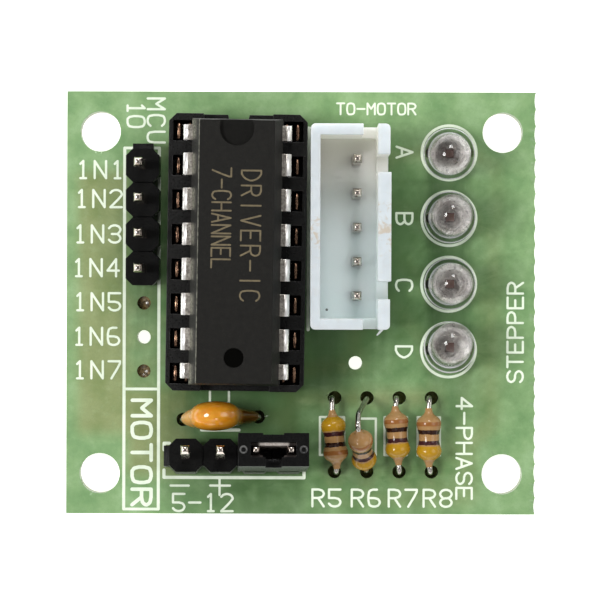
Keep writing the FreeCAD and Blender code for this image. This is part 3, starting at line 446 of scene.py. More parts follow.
def smooth_profile(points, steps=6):
    """Points along a smooth curve through every given point."""
    result = []
    for index in range(len(points) - 1):
        p0 = Vector(points[max(index - 1, 0)])
        p1 = Vector(points[index])
        p2 = Vector(points[index + 1])
        p3 = Vector(points[min(index + 2, len(points) - 1)])
        for step in range(steps):
            t = step / steps
            point = 0.5 * (2 * p1 + (p2 - p0) * t + (2 * p0 - 5 * p1 + 4 * p2 - p3) * t ** 2
                           + (3 * p1 - p0 - 3 * p2 + p3) * t ** 3)
            result.append((point.x, max(point.y, 0.0)))
    result.append(tuple(points[-1]))
    return result


# ---- printed lines and letters
# Each letter is a few pen lines, and each line a run of points on a grid four wide and six high.
GLYPH_WIDTH = 4
GLYPH_HEIGHT = 6
GLYPHS = {
    "1": "152620 1030",
    "2": "05163645440040",
    "3": "0516364544334241301001 1333",
    "4": "30360242",
    "5": "460603334241301001",
    "6": "36160501103041423303",
    "7": "06464510",
    "8": "13040516364544331302011030414233",
    "A": "002640 1232",
    "B": "00063645443303 3342413000",
    "C": "4536160501103041",
    "D": "00062644422000",
    "E": "46060040 0333",
    "H": "0006 4046 0343",
    "I": "152620 1030",
    "L": "060040",
    "M": "0006234640",
    "N": "00064046",
    "O": "100105163645413010",
    "P": "00063645443303",
    "R": "00063645443303 2340",
    "S": "453616050413334241301001",
    "T": "0646 2620",
    "U": "060110304146",
    "V": "062046",
    "|": "2026",
    "-": "0343",
}
CAP_STEPS = 5  # facets of a line's round end
LAYERS = 11  # heights that overlapping lines take in turn
INK_FOOT = -0.001  # how far ink reaches into the surface under it


class Print:
    """Flat strokes of ink or a laser's trace on a surface, collected into one mesh."""

    def __init__(self, thickness):
        self.bm = bmesh.new()
        self.thickness = thickness
        self.count = 0
        self.place = Matrix.Identity(4)

    def stroke(self, points, width, closed=False):
        """Round-ended runs along the points, each a hair higher or lower than the one before."""
        points = [Vector(point) for point in points]
        if closed:
            points.append(points[0])
        half = width / 2
        for start, end in zip(points, points[1:]):
            along = (end - start).normalized()
            side = Vector((-along.y, along.x))
            outline = []
            for centre, out in ((end, along), (start, -along)):
                across = side if out == along else -side
                for n in range(CAP_STEPS + 1):
                    angle = math.pi * n / CAP_STEPS
                    outline.append(centre + half * (across * math.cos(angle)
                                                    + out * math.sin(angle)))
            self.slab(outline, self.thickness * (1 + 0.02 * (self.count % LAYERS)))
            self.count += 1

    def slab(self, outline, height):
        top = [self.bm.verts.new(self.place @ Vector((p.x, p.y, height))) for p in outline]
        foot = [self.bm.verts.new(self.place @ Vector((p.x, p.y, INK_FOOT))) for p in outline]
        count = len(outline)
        self.bm.faces.new(top)
        self.bm.faces.new(foot[::-1])
        for n in range(count):
            after = (n + 1) % count
            self.bm.faces.new((foot[n], foot[after], top[after], top[n]))

    def text(self, words, x, y, height, advance, width, glyph_width, angle=0.0):
        """Letters from x, y, the foot of the first one, running along angle."""
        turn = Matrix.Rotation(math.radians(angle), 2)
        for index, letter in enumerate(words):
            for line in GLYPHS[letter].split():
                points = []
                for n in range(0, len(line) - 1, 2):
                    across = int(line[n]) / GLYPH_WIDTH * glyph_width + index * advance
                    up = int(line[n + 1]) / GLYPH_HEIGHT * height
                    points.append(Vector((x, y)) + turn @ Vector((across, up)))
                self.stroke(self.eased(points), width)

    @staticmethod
    def eased(points):
        """The same line with its shallow corners cut, so bowls read as curves."""
        result = [points[0]]
        for before, point, after in zip(points, points[1:], points[2:]):
            into, out = point - before, after - point
            if into.angle(out) < math.radians(60):
                result.append(point - into * 0.3)
                result.append(point + out * 0.3)
            else:
                result.append(point)
        result.append(points[-1])
        return result

    def object(self, name, material, body):
        for vert in self.bm.verts:
            vert.co = vert.co * MM
        bmesh.ops.recalc_face_normals(self.bm, faces=self.bm.faces)
        mesh = finished(self.bm, name)
        return add_object(name, mesh, material, body)


# ---- looks in use
board_material = board_look()
masked_copper = underside_copper_look()
solder_metal = solder_look()
tinned_leads = metal_look("look_tinned_leads", (0.8, 0.78, 0.75), (0.92, 0.9, 0.88), 0.34, 0.42,
                          1.2, 0.12, 0.006)
resistor_wire = metal_look("look_resistor_wire", (0.3, 0.28, 0.25), (0.6, 0.57, 0.52), 0.16, 0.26,
                           2.0, 0.15, 0.006)
tinned_pins = metal_look("look_tinned_pins", (0.46, 0.39, 0.34), (0.76, 0.68, 0.61), 0.12, 0.24, 3.0,
                         0.15, 0.006)
tinned_spring = metal_look("look_tinned_spring", (0.09, 0.05, 0.035), (0.28, 0.17, 0.11), 0.2, 0.36,
                           2.5)
silicon = metal_look("look_silicon", (0.05, 0.05, 0.06), (0.11, 0.11, 0.13), 0.15, 0.3, 6.0)
black_plastic = plastic_look("look_black_plastic", srgb(7, 7, 7), srgb(13, 13, 12), 0.26, 0.42,
                             14.0, 0.35, 0.014, Specular_IOR_Level=0.16)
socket_plastic = plastic_look("look_socket_plastic", srgb(8, 8, 7), srgb(14, 13, 12), 0.26, 0.44,
                              9.0, 0.5, 0.03, Specular_IOR_Level=0.3)
ceramic = plastic_look("look_ceramic", srgb(214, 206, 190), srgb(228, 221, 206), 0.5, 0.65, 8.0,
                       0.3, 0.01)
white_nylon = nylon_look()
white_ink = plastic_look("look_white_ink", srgb(218, 231, 208), srgb(234, 244, 224), 0.45, 0.6, 6.0,
                         0.35, 0.01)
laser_trace = plastic_look("look_laser_trace", srgb(86, 76, 54), srgb(108, 96, 70), 0.6, 0.75,
                           18.0, 0.4, 0.01)


# The chip's middle and turn, and along it the places of the ejector dimple and the end notch.
IC_X, IC_Y, IC_YAW = -4.75, 3.67, -0.7
DIMPLE_FROM_MIDDLE, DIMPLE_RADIUS = -7.64, 0.73
NOTCH_FROM_MIDDLE, NOTCH_RADIUS = 8.88, 1.25
CASE_TOP_WIDTH = 5.44


def chip_axes(look):
    """Distances across and along the chip from its middle."""
    turn = math.radians(IC_YAW)
    east = look.minus(look.axis("X"), IC_X)
    north = look.minus(look.axis("Y"), IC_Y)
    across = look.plus(look.times(east, math.cos(turn)), look.times(north, math.sin(turn)))
    along = look.minus(look.times(north, math.cos(turn)), look.times(east, math.sin(turn)))
    return across, along


def chip_look():
    """Epoxy moulding, darker and less shiny in the dimple and the notch, with a painted highlight
    along the west edge of the top and a painted reflection of the legs on the west face beside each
    leg."""
    look = Look("look_chip_moulding")
    across, along = chip_axes(look)
    patches = look.noise(2.4, 4.0, 0.6)
    grain = look.noise(24.0, 4.0, 0.7)
    specks = look.ranged(look.noise(34.0, 2.0), 0.66, 0.78)
    colour = look.ramp(patches, [(0.32, srgb(18, 17, 15)), (0.68, srgb(24, 23, 20))])
    colour = look.mix(look.times(specks, 0.5), colour, srgb(96, 94, 86))
    # darker and less shiny inside the dimple and the notch
    dimple_and_notch = None
    for place, radius, dark in ((DIMPLE_FROM_MIDDLE, DIMPLE_RADIUS, 1.0),
                                (NOTCH_FROM_MIDDLE, NOTCH_RADIUS, 0.45)):
        forth = look.minus(along, place)
        reach = look.math("SQRT", look.plus(look.times(across, across), look.times(forth, forth)))
        inside = look.ranged(reach, radius, radius - 0.06, 0.0, dark)
        dimple_and_notch = inside if dimple_and_notch is None else look.math("MAXIMUM", dimple_and_notch, inside)
    colour = look.mix(dimple_and_notch, colour, srgb(3, 3, 2))
    look.to_shader(Specular_IOR_Level=look.ranged(dimple_and_notch, 0.0, 1.0, 0.15, 0.02))
    half_top = CASE_TOP_WIDTH / 2
    # painted reflection: a faint light patch on the west face beside each leg, standing in for the
    # legs reflected in the case side
    west_face = look.ranged(across, -half_top - 0.12, -half_top - 0.5)
    step = look.math("FRACT", look.math("DIVIDE", along, PITCH))
    from_leg = look.math("ABSOLUTE", look.minus(step, 0.5))
    near_leg = look.ranged(from_leg, 0.36, 0.18)
    smear = look.ranged(look.noise(6.0, 4.0, 0.6), 0.3, 0.62)
    painted_leg_reflection = look.times(west_face, look.times(near_leg, smear))
    colour = look.mix(look.times(painted_leg_reflection, 0.6), colour, srgb(150, 149, 132))
    # painted highlight: a narrow light line along the west edge of the top, where the rounded edge
    # catches the west light
    from_edge = look.math("ABSOLUTE", look.plus(across, half_top))
    glint = look.times(look.ranged(from_edge, 0.05, 0.015),
                       look.ranged(look.noise(3.0, 4.0, 0.7), 0.4, 0.6, 0.25, 0.85))
    colour = look.mix(glint, colour, srgb(128, 128, 116))
    look.to_shader(Base_Color=colour, Normal=look.bump(grain, 0.5, 0.016))
    look.to_shader(Roughness=look.ranged(grain, 0.35, 0.65, 0.5, 0.68))
    return look.material


def leg_look():
    """Bright tin on the bends, with painted shade where a leg leaves the case, darker and browner
    there.
    """
    look = Look("look_chip_legs", Metallic=1.0)
    across = look.math("ABSOLUTE", chip_axes(look)[0])
    patches = look.noise(3.0, 4.0, 0.6)
    bright = look.ramp(patches, [(0.3, (0.78, 0.76, 0.73)), (0.7, (0.93, 0.91, 0.89))])
    # painted shade: the legs turn darker and browner near the case, which shades them
    root = look.ranged(look.plus(across, look.times(patches, 0.12)), 3.72, 3.6)
    shaded_tin = look.ramp(look.noise(7.0, 3.0), [(0.35, (0.2, 0.16, 0.13)), (0.65, (0.62, 0.58, 0.5))])
    look.to_shader(Base_Color=look.mix(look.times(root, 0.85), bright, shaded_tin))
    look.to_shader(Roughness=look.ranged(patches, 0.3, 0.7, 0.3, 0.42))
    look.to_shader(Normal=look.bump(look.noise(4.0, 3.0), 0.2, 0.01))
    return look.material


chip_moulding = chip_look()


def capacitor_look():
    """Orange dip, painted pale at the west end as painted light and brown at the east end as painted
    shade.
    """
    look = Look("look_orange_dip", Roughness=0.16, IOR=1.52, Coat_Weight=0.5, Coat_Roughness=0.06,
                Subsurface_Weight=0.15, Subsurface_Scale=0.5 * MM)
    cloud = look.noise(1.4, 3.0)
    colour = look.ramp(cloud, [(0.3, srgb(222, 142, 24)), (0.7, srgb(238, 164, 50))])
    # painted shade: brown over the east end, where the dip faces away from the west light
    painted_shade_east = look.ranged(look.axis("X"), -5.0, -4.1)
    colour = look.mix(look.times(painted_shade_east, 0.92), colour, srgb(58, 38, 12))
    # painted light: paler over the west end, where the dip faces the west light
    painted_light_west = look.ranged(look.axis("X"), -7.6, -8.6)
    colour = look.mix(look.times(painted_light_west, 0.6), colour, srgb(214, 170, 104))
    look.to_shader(Base_Color=colour, Normal=look.bump(look.noise(2.2, 2.0), 0.25, 0.05))
    return look.material


LENS_HEIGHT, LENS_RADIUS = 5.3, 1.5
FLANGE_HEIGHT, FLANGE_RADIUS = 1.0, 1.925


def lens_look():
    """Clear resin, with painted highlights as whitish rings on the flange's edge and at the foot of
    the dome.
    """
    look = Look("look_clear_lens", Roughness=0.03, IOR=1.5)
    cloud = look.noise(1.2, 2.0)
    look.to_shader(Base_Color=look.ramp(cloud, [(0.3, (0.93, 0.93, 0.95)), (0.7, (0.97, 0.97, 0.97))]))
    look.to_shader(Normal=look.bump(look.noise(0.9, 2.0), 0.15, 0.03))
    clear = look.ranged(look.axis("Z"), BOARD_TOP + FLANGE_HEIGHT, BOARD_TOP + 1.3, 0.6, 0.95)
    # painted highlight: the rim value makes the flange's edge and the dome's foot whitish, as rings of
    # caught light
    rim = look.times(look.attribute("rim"), 0.62)
    look.to_shader(Alpha=look.math("MAXIMUM", clear, look.times(rim, 1.4)))
    look.to_shader(Transmission_Weight=look.minus(1.0, rim))
    return look.material


# ---- circuit board
GRID_STEP = 0.4
COPPER_BLUR = 0.6
# painted shade on the laminate: how far around a point the tall parts darken it, and which way that
# darkening is shifted
PARTS_BLUR = 3.9
SHADE_SHIFT = (-1.2, 2.0)
TALL_PARTS = ["driver_socket_body", "driver_ic_case", "motor_connector_housing",
              "input_header_body", "power_header_body", "jumper_shell", "capacitor_coat",
              "lamp_a_lens", "lamp_b_lens", "lamp_c_lens", "lamp_d_lens", "resistor_r5_coat",
              "resistor_r6_coat", "resistor_r7_coat", "resistor_r8_coat"]


def cover_finder(names, height, direction, blur, shift=(0.0, 0.0)):
    """How much of a disc around a point has one of the named nodes over or under it."""
    corners, faces = [], []
    for name in names:
        mesh = nodes[name].data
        first = len(corners)
        corners += [v.co.copy() for v in mesh.vertices]
        faces += [tuple(first + n for n in p.vertices) for p in mesh.polygons]
    tree = BVHTree.FromPolygons(corners, faces)
    offsets = [Vector((0, 0))]
    for ring, count in ((0.4, 5), (0.7, 7), (1.0, 9)):
        for n in range(count):
            angle = 2 * math.pi * n / count + ring
            offsets.append(Vector((math.cos(angle), math.sin(angle))) * blur * ring)
    offsets = [(offset + Vector(shift)) * MM for offset in offsets]

    def cover(point):
        hits = 0
        for offset in offsets:
            origin = Vector((point.x + offset.x, point.y + offset.y, height * MM))
            if tree.ray_cast(origin, direction)[0] is not None:
                hits += 1
        return hits / len(offsets)

    return cover


def make_board():
    bm = bmesh.new()
    bm.from_mesh(nodes["circuit_board"].data)
    bmesh.ops.remove_doubles(bm, verts=bm.verts, dist=0.002 * MM)
    for axis, low, high in ((0, BOARD_LOW.x, BOARD_HIGH.x), (1, BOARD_LOW.y, BOARD_HIGH.y)):
        normal = Vector((0, 0, 0))
        normal[axis] = 1.0
        for n in range(1, int((high - low) / GRID_STEP)):
            point = normal * (low + n * GRID_STEP) * MM
            geometry = bm.verts[:] + bm.edges[:] + bm.faces[:]
            bmesh.ops.bisect_plane(bm, geom=geometry, plane_co=point, plane_no=normal)
    mesh = finished(bm, "board_laminate", 30)
    up = Vector((0, 0, 1))
    copper = cover_finder(["copper_tracks"], BOARD_LOW.z - 0.5, up, COPPER_BLUR)
    # painted shade, stored on each vertex as "shaded"
    parts = cover_finder(TALL_PARTS, BOARD_TOP + 0.01, up, PARTS_BLUR, SHADE_SHIFT)
    for name, cover in (("copper", copper), ("shaded", parts)):
        attribute = mesh.attributes.new(name, "FLOAT", "POINT")
        attribute.data.foreach_set("value", [cover(vert.co) for vert in mesh.vertices])
    return add_object("board_laminate", mesh, board_material, "root",
                      ["circuit_board"])


make_board()
dressed("copper_tracks", masked_copper)
dressed("solder_joints", solder_metal)
INPUT_X, BLOCKED_HOLES_Y, INPUT_HOLE_RADIUS = -11.73, (-0.04, -5.12), 0.51


def make_flux_plugs():
    """Brown flux left in the two unused holes that the solder closed."""
    look = Look("look_flux", Roughness=0.25, IOR=1.5, Coat_Weight=0.5)
    look.to_shader(Base_Color=look.ramp(look.noise(6.0, 4.0), [(0.35, srgb(48, 40, 24)),
                                                               (0.65, srgb(124, 104, 66))]))
    look.to_shader(Normal=look.bump(look.noise(5.0, 3.0), 0.6, 0.06))
    bm = bmesh.new()
    for y in BLOCKED_HOLES_Y:
        radius = INPUT_HOLE_RADIUS - 0.01
        top = BOARD_TOP - 0.25
        plug = lathe([(0.1, 0.0), (0.1, radius), (top + 0.08, radius), (top, radius * 0.8),
                      (top - 0.12, radius * 0.45), (top - 0.15, 0.0)], 32)
        moved(plug, Matrix.Translation((INPUT_X, y, 0)))
        join(bm, plug)
    add_object("flux_plugs", finished(bm, "flux_plugs", 60), look.material, "root")


make_flux_plugs()


# ---- printing on the board
INK_THICKNESS = 0.02
LINE, WIDE_LINE, PEN = 0.23, 0.24, 0.172
LABEL_HEIGHT = 1.28
LABEL_WIDTH = 0.85
FRAME_WEST, FRAME_EAST = -13.2, -10.62
FRAME_NORTH, FRAME_SOUTH, FRAME_DIVIDER = 11.52, -15.42, -6.46
POWER_WEST, POWER_EAST, POWER_NORTH, POWER_SOUTH = -10.2, 0.25, -10.5, -13.05
SUPPLY_SIGN_Y = -13.65
CONNECTOR_WEST, CONNECTOR_NORTH, CONNECTOR_SOUTH = 0.52, 13.05, -2.0
RESISTOR_NORTH, RESISTOR_SOUTH = -8.5, -11.34
RESISTOR_LABELS = [("R5", 0.88), ("R6", 3.82), ("R7", 6.58), ("R8", 9.18)]
LAMP_LABELS = [("A", 11.68), ("B", 6.72), ("C", 1.75), ("D", -3.22)]
INPUT_LABELS = [(-16.72, 9.26), (-16.82, 7.1), (-16.92, 4.46), (-17.02, 1.94), (-16.92, -0.6),
                (-16.98, -3.18), (-16.92, -5.68)]
LAMPS = {"a": (11.0, 11.23), "b": (11.0, 6.33), "c": (11.0, 1.43), "d": (11.0, -3.47)}
LAMP_RING_RADIUS, LAMP_RING_STEPS = 2.03, 48


def print_board():
    ink = Print(INK_THICKNESS)
    ink.place = Matrix.Translation((0, 0, BOARD_TOP))
    for x in (FRAME_WEST, FRAME_EAST):
        ink.stroke([(x, FRAME_NORTH), (x, FRAME_SOUTH)], LINE)
    for y in (FRAME_NORTH, FRAME_DIVIDER, FRAME_SOUTH):
        ink.stroke([(FRAME_WEST, y), (FRAME_EAST, y)], LINE * 0.9)
    for number, (x, y) in enumerate(INPUT_LABELS, start=1):
        ink.text(f"IN{number}", x, y, LABEL_HEIGHT, LABEL_HEIGHT, PEN, LABEL_WIDTH)
    ink.text("MCU", -11.5, 15.22, LABEL_HEIGHT, 1.24, PEN, 0.8, angle=-90)
    ink.text("IO", -13.0, 14.9, LABEL_HEIGHT, 1.0, PEN, 0.82, angle=-90)
    ink.text("MOTOR", -12.58, -7.3, 1.42, 1.66, 0.27, 1.16, angle=-90)

    # around the power header, with its signs and voltage
    ink.stroke([(POWER_WEST, -11.0), (POWER_WEST, POWER_NORTH), (-9.8, POWER_NORTH)], LINE)
    ink.stroke([(POWER_WEST, -12.5), (POWER_WEST, POWER_SOUTH), (POWER_EAST, POWER_SOUTH),
                (POWER_EAST, -12.5)], WIDE_LINE)
    ink.stroke([(-9.7, SUPPLY_SIGN_Y - 0.01), (-8.35, SUPPLY_SIGN_Y - 0.01)], PEN)
    ink.stroke([(-6.75, SUPPLY_SIGN_Y), (-5.28, SUPPLY_SIGN_Y)], PEN)
    ink.stroke([(-6.05, -13.12), (-6.05, -14.35)], PEN)
    ink.text("5-12", -9.52, -15.56, LABEL_HEIGHT, 1.2, PEN, LABEL_WIDTH)

    # the capacitor's symbol, and the west and north sides of the connector's outline
    ink.stroke([(-7.41, -9.5), (-4.61, -9.5)], WIDE_LINE)
    for x in (-6.79, -5.37):
        ink.stroke([(x, -6.65), (x, -7.4)], PEN)
    ink.stroke([(CONNECTOR_WEST, CONNECTOR_NORTH), (CONNECTOR_WEST, CONNECTOR_SOUTH)], WIDE_LINE)
    ink.stroke([(CONNECTOR_WEST, CONNECTOR_NORTH), (1.1, CONNECTOR_NORTH)], PEN)

    # a box for each resistor, the second one open to the west
    for west, east, north, closed in ((1.43, 3.23, RESISTOR_NORTH - 0.01, True),
                                      (4.34, 5.6, RESISTOR_NORTH - 0.12, False),
                                      (6.25, 7.92, RESISTOR_NORTH, True),
                                      (8.72, 10.38, RESISTOR_NORTH, True)):
        ink.stroke([(west, north), (east, north), (east, RESISTOR_SOUTH), (west, RESISTOR_SOUTH)],
                   PEN, closed)
    for label, x in RESISTOR_LABELS:
        ink.text(label, x, -15.18, 1.26, 1.24, PEN, LABEL_WIDTH)
    for letter, y in LAMP_LABELS:
        ink.text(letter, 7.08, y, 1.2, 1.0, PEN, 0.82, angle=-90)
    turns = [2 * math.pi * n / LAMP_RING_STEPS for n in range(LAMP_RING_STEPS)]
    for x, y in LAMPS.values():
        ring = [(x + LAMP_RING_RADIUS * math.cos(turn), y + LAMP_RING_RADIUS * math.sin(turn))
                for turn in turns]
        ink.stroke(ring, 0.2, closed=True)
    ink.text("TO-MOTOR", 2.62, 14.08, 0.82, 0.76, 0.14, 0.55)
    ink.text("STEPPER", 16.55, -5.85, 1.15, 1.1, 0.17, 0.8, angle=90)
    ink.text("4-PHASE", 11.62, -7.05, 1.15, 1.12, 0.17, 0.82, angle=-90)
    ink.object("silkscreen", white_ink, "root")


print_board()


# ---- driver chip and socket
IC_TOP = low_high("driver_ic_case")[1].z
TRACE_THICKNESS, TRACE_WIDTH = 0.004, 0.125

refined("driver_socket_body", "socket_body", socket_plastic, 0.06)
refined("driver_socket_contacts", "socket_contacts", tinned_spring, 0.02, 1)
refined("driver_ic_case", "chip_case", chip_moulding, 0.06)
leg_metal = leg_look()
refined("driver_ic_leads_left", "chip_legs_left", leg_metal, 0.025, 1)
refined("driver_ic_leads_right", "chip_legs_right", leg_metal, 0.025, 1)
dressed("driver_ic_paddle", tinned_leads)
dressed("driver_ic_die", silicon)


def mark_chip():
    trace = Print(TRACE_THICKNESS)
    trace.place = Matrix.Translation((IC_X, IC_Y, IC_TOP)) @ about("Z", IC_YAW)
    trace.text("DR|VER-|C", 0.38, 5.85, 1.4, 1.08, TRACE_WIDTH, 0.72, angle=-90)
    trace.text("7-CHANNEL", -1.72, 6.0, 1.35, 0.82, TRACE_WIDTH, 0.6, angle=-90)
    trace.object("chip_marking", laser_trace, "driver_ic")


mark_chip()


# ---- motor connector
refined("motor_connector_housing", "connector_housing", white_nylon, 0.07)
refined("motor_connector_pins", "connector_pins", tinned_pins, 0.02, 1)


FLASH_ROOT, FLASH_TIP = Vector((5.95, -1.8, 8.3)), Vector((5.45, -2.35, 8.2))


def turned_to(along):
    """The turn that takes +Z to a direction."""
    return Vector((0, 0, 1)).rotation_difference(along).to_matrix().to_4x4()


def make_flash():
    """A whisker of moulding flash at the connector's south-east corner."""
    along = FLASH_TIP - FLASH_ROOT
    bm = lathe([(0.0, 0.0), (0.0, 0.1), (along.length * 0.5, 0.085), (along.length * 0.9, 0.05),
                (along.length, 0.0)], 16)
    moved(bm, Matrix.Translation(FLASH_ROOT) @ turned_to(along))
    add_object("connector_flash", finished(bm, "connector_flash", 60), white_nylon, "root")


make_flash()

# ---- headers and jumper
POWER_MIDDLE_X, POWER_Y, POWER_LEAN = -8.57 + 1.5 * PITCH, -11.68, (1.7, 7.0)
HEADER_HEIGHT, HEADER_HALF = 2.54, 1.23
JUMPER_SEAT, JUMPER_HEIGHT, MARK_FROM_MIDDLE = 0.02, 6.0, 2.16


def clip_look():
    """Tin on the clip's back strip, with the two front leaves dark in the cap's shadow."""
    look = Look("look_tinned_clip", Metallic=0.45)
    leaning_away = look.times(look.axis("Z"), -math.tan(math.radians(POWER_LEAN[1])))
    forth = look.plus(look.axis("Y"), leaning_away)
    middle = POWER_Y - BOARD_TOP * math.tan(math.radians(POWER_LEAN[1]))
    back = look.ranged(forth, middle - 0.1, middle + 0.1)
    west_end = look.ranged(look.axis("X"), -3.15, -2.85)
    east_end = look.ranged(look.axis("X"), -0.75, -0.95)
    lit = look.times(back, look.math("MINIMUM", west_end, east_end))
    tin = look.ramp(look.noise(6.0, 4.0), [(0.35, (0.62, 0.54, 0.48)), (0.65, (0.86, 0.8, 0.74))])
    look.to_shader(Base_Color=look.mix(lit, (0.05, 0.04, 0.035), tin))
    look.to_shader(Roughness=look.ranged(look.noise(9.0, 3.0), 0.3, 0.7, 0.3, 0.46))
    return look.material


refined("input_header_body", "input_header", black_plastic, 0.05)
refined("input_header_pins", "input_header_pin_set", tinned_pins, 0.02, 1)
refined("power_header_body", "power_header", black_plastic, 0.05)
refined("power_header_pins", "power_header_pin_set", tinned_pins, 0.02, 1)
refined("jumper_shell", "jumper_cap", black_plastic, 0.05)
dressed("jumper_clip", clip_look())


# ---- lamps
LAMP_LEANS = {"a": (-1.0, -3.7), "b": (0.8, 2.2), "c": (1.4, 0.3), "d": (1.0, 6.6)}
DOME_STEPS = 18
clear_lens = lens_look()
lamp_die = plastic_look("look_lamp_die", srgb(70, 50, 44), srgb(112, 84, 74), 0.3, 0.5, 9.0,
                        0.4, 0.01)
cup_metal = plastic_look("look_lamp_frame", srgb(150, 140, 134), srgb(252, 248, 242), 0.26, 0.44,
                         9.0, 1.0, 0.16, Metallic=0.3)


def leaning(x, y, lean_x, lean_y, reach_x, reach_y):
    """The frame of a part that leans in its holes with the lowest edge of its foot on the board."""
    turn = about("Y", lean_x) @ about("X", -lean_y)
    axis = turn @ Vector((0, 0, 1))
    slopes = (turn @ Vector((1, 0, 0))).z, (turn @ Vector((0, 1, 0))).z
    drop = reach_x * abs(slopes[0]) + reach_y * abs(slopes[1])
    middle = (BOARD_LOW.z + BOARD_TOP) / 2
    rise = (BOARD_TOP + drop - middle) / axis.z
    return Matrix.Translation(Vector((x, y, middle)) + axis * rise) @ turn


def mark_jumper():
    """The two round witness marks of the mould on top of the jumper cap."""
    scuffed = plastic_look("look_scuffed_plastic", srgb(30, 30, 30), srgb(84, 84, 82), 0.3, 0.5,
                           9.0, 0.4, 0.02)
    place = leaning(POWER_MIDDLE_X, POWER_Y, *POWER_LEAN, 1.5 * PITCH + HEADER_HALF, HEADER_HALF)
    top = HEADER_HEIGHT + JUMPER_SEAT + JUMPER_HEIGHT
    bm = bmesh.new()
    for side in (-1, 1):
        ring = lathe([(0.0, 0.16), (0.025, 0.18), (0.035, 0.215), (0.035, 0.245), (0.025, 0.28),
                      (0.0, 0.3), (-0.02, 0.3), (-0.02, 0.16), (0.0, 0.16)], 32)
        moved(ring, place @ Matrix.Translation((PITCH + side * MARK_FROM_MIDDLE, 0, top)))
        join(bm, ring)
    bmesh.ops.remove_doubles(bm, verts=bm.verts, dist=0.0005 * MM)
    mesh = finished(bm, "jumper_mould_marks", 60)
    add_object("jumper_mould_marks", mesh, scuffed, "jumper")


mark_jumper()


def make_lamp(name):
    """A lens turned about its own axis and leaning in its holes, over the CAD's lead frame."""
    x, y = LAMPS[name]
    lean_x, lean_y = LAMP_LEANS[name]
    steepness = math.hypot(lean_x, lean_y)
    place = leaning(x, y, lean_x, lean_y, FLANGE_RADIUS * abs(lean_x) / steepness,
                    FLANGE_RADIUS * abs(lean_y) / steepness)
    profile = [(0, 0), (0, 1.2), (0, 1.86), (0.02, 1.905), (0.07, FLANGE_RADIUS),
               (0.5, FLANGE_RADIUS), (0.92, FLANGE_RADIUS), (0.98, 1.9), (FLANGE_HEIGHT, 1.87),
               (FLANGE_HEIGHT, 1.82), (FLANGE_HEIGHT, 1.62), (1.01, 1.56), (1.04, 1.52),
               (1.1, LENS_RADIUS), (1.6, LENS_RADIUS), (2.4, LENS_RADIUS), (3.2, LENS_RADIUS)]
    shoulder = LENS_HEIGHT - LENS_RADIUS
    for n in range(DOME_STEPS):
        angle = math.pi / 2 * n / DOME_STEPS
        profile.append((shoulder + LENS_RADIUS * math.sin(angle), LENS_RADIUS * math.cos(angle)))
    profile.append((LENS_HEIGHT, 0))
    bm = lathe(profile, 72)
    # rings of painted highlight on the lens's edges, read by the lens material as "rim"
    layer = bm.verts.layers.float.new("rim")
    for vert in bm.verts:
        height = vert.co.z / MM
        radius = math.hypot(vert.co.x, vert.co.y) / MM
        flange_edge = 0.9 < height < 1.01 and radius > 1.86
        dome_foot = 1.005 < height < 1.05
        vert[layer] = 1.0 if flange_edge or dome_foot else 0.0
    moved(bm, place)
    add_object(f"lamp_{name}_dome", finished(bm, f"lamp_{name}_dome", 50), clear_lens, "root",
               [f"lamp_{name}_lens"])
    refined(f"lamp_{name}_cathode", f"lamp_{name}_cup", cup_metal, 0.02, 1)
    refined(f"lamp_{name}_anode", f"lamp_{name}_post", cup_metal, 0.02, 1)
    dressed(f"lamp_{name}_chip", lamp_die)


for lamp in LAMPS:
    make_lamp(lamp)

# ---- resistors
TAN = srgb(160, 123, 78)
YELLOW = srgb(172, 130, 22)
VIOLET = srgb(54, 22, 27)
BROWN = srgb(34, 9, 4)
GOLD = srgb(140, 90, 46)
BAND_SPAN = 4.6
# where each stretch of colour starts along the body
RESISTOR_BANDS = [(-1.64, YELLOW), (-0.64, TAN), (-0.54, VIOLET), (-0.22, TAN), (0.24, BROWN),
                  (0.57, TAN), (0.86, GOLD), (1.16, TAN)]
RESISTOR_AXIS_HEIGHT = 1.0
BULGE_OFFSET, BULGE_RADIUS = 1.08, 0.93
RESISTOR_HOLE_SPAN = 5.51
RESISTOR_MIDDLE_Y = -7.07 - RESISTOR_HOLE_SPAN / 2
FIRST_RESISTOR_X, RESISTOR_SPACING = 2.52, 2.41
RAISED_CLIMB, RAISED_TURN = 45.0, 11.8  # degrees
RAISED_SHIFT_X, RAISED_FROM_HOLE_Y, RAISED_GAP = -0.37, 1.72, 0.1


def resistor_look(name, shift):
    """Tan lacquer with painted bands, moved along by a shift of their own."""
    look = Look("look_resistor_" + name, Specular_IOR_Level=0.15, Coat_Weight=0.45,
                Coat_Roughness=0.05)
    wobble = look.times(look.minus(look.noise(2.6, 2.0), 0.5), 0.12)
    along = look.plus(look.attribute("along"), wobble)
    fraction = look.plus(look.math("DIVIDE", along, BAND_SPAN), 0.5)
    stops = [(0.0, TAN)]
    stops += [((place + shift) / BAND_SPAN + 0.5, colour) for place, colour in RESISTOR_BANDS]
    colour = look.ramp(fraction, stops, constant=True)
    shade = look.ranged(look.noise(5.0, 4.0, 0.6), 0.35, 0.75)
    colour = look.mix(look.times(shade, 0.1), colour, srgb(120, 84, 48))
    look.to_shader(Base_Color=colour, Normal=look.bump(look.noise(2.4, 3.0), 0.3, 0.03))
    look.to_shader(Roughness=look.ranged(shade, 0.0, 1.0, 0.2, 0.36))
    return look.material


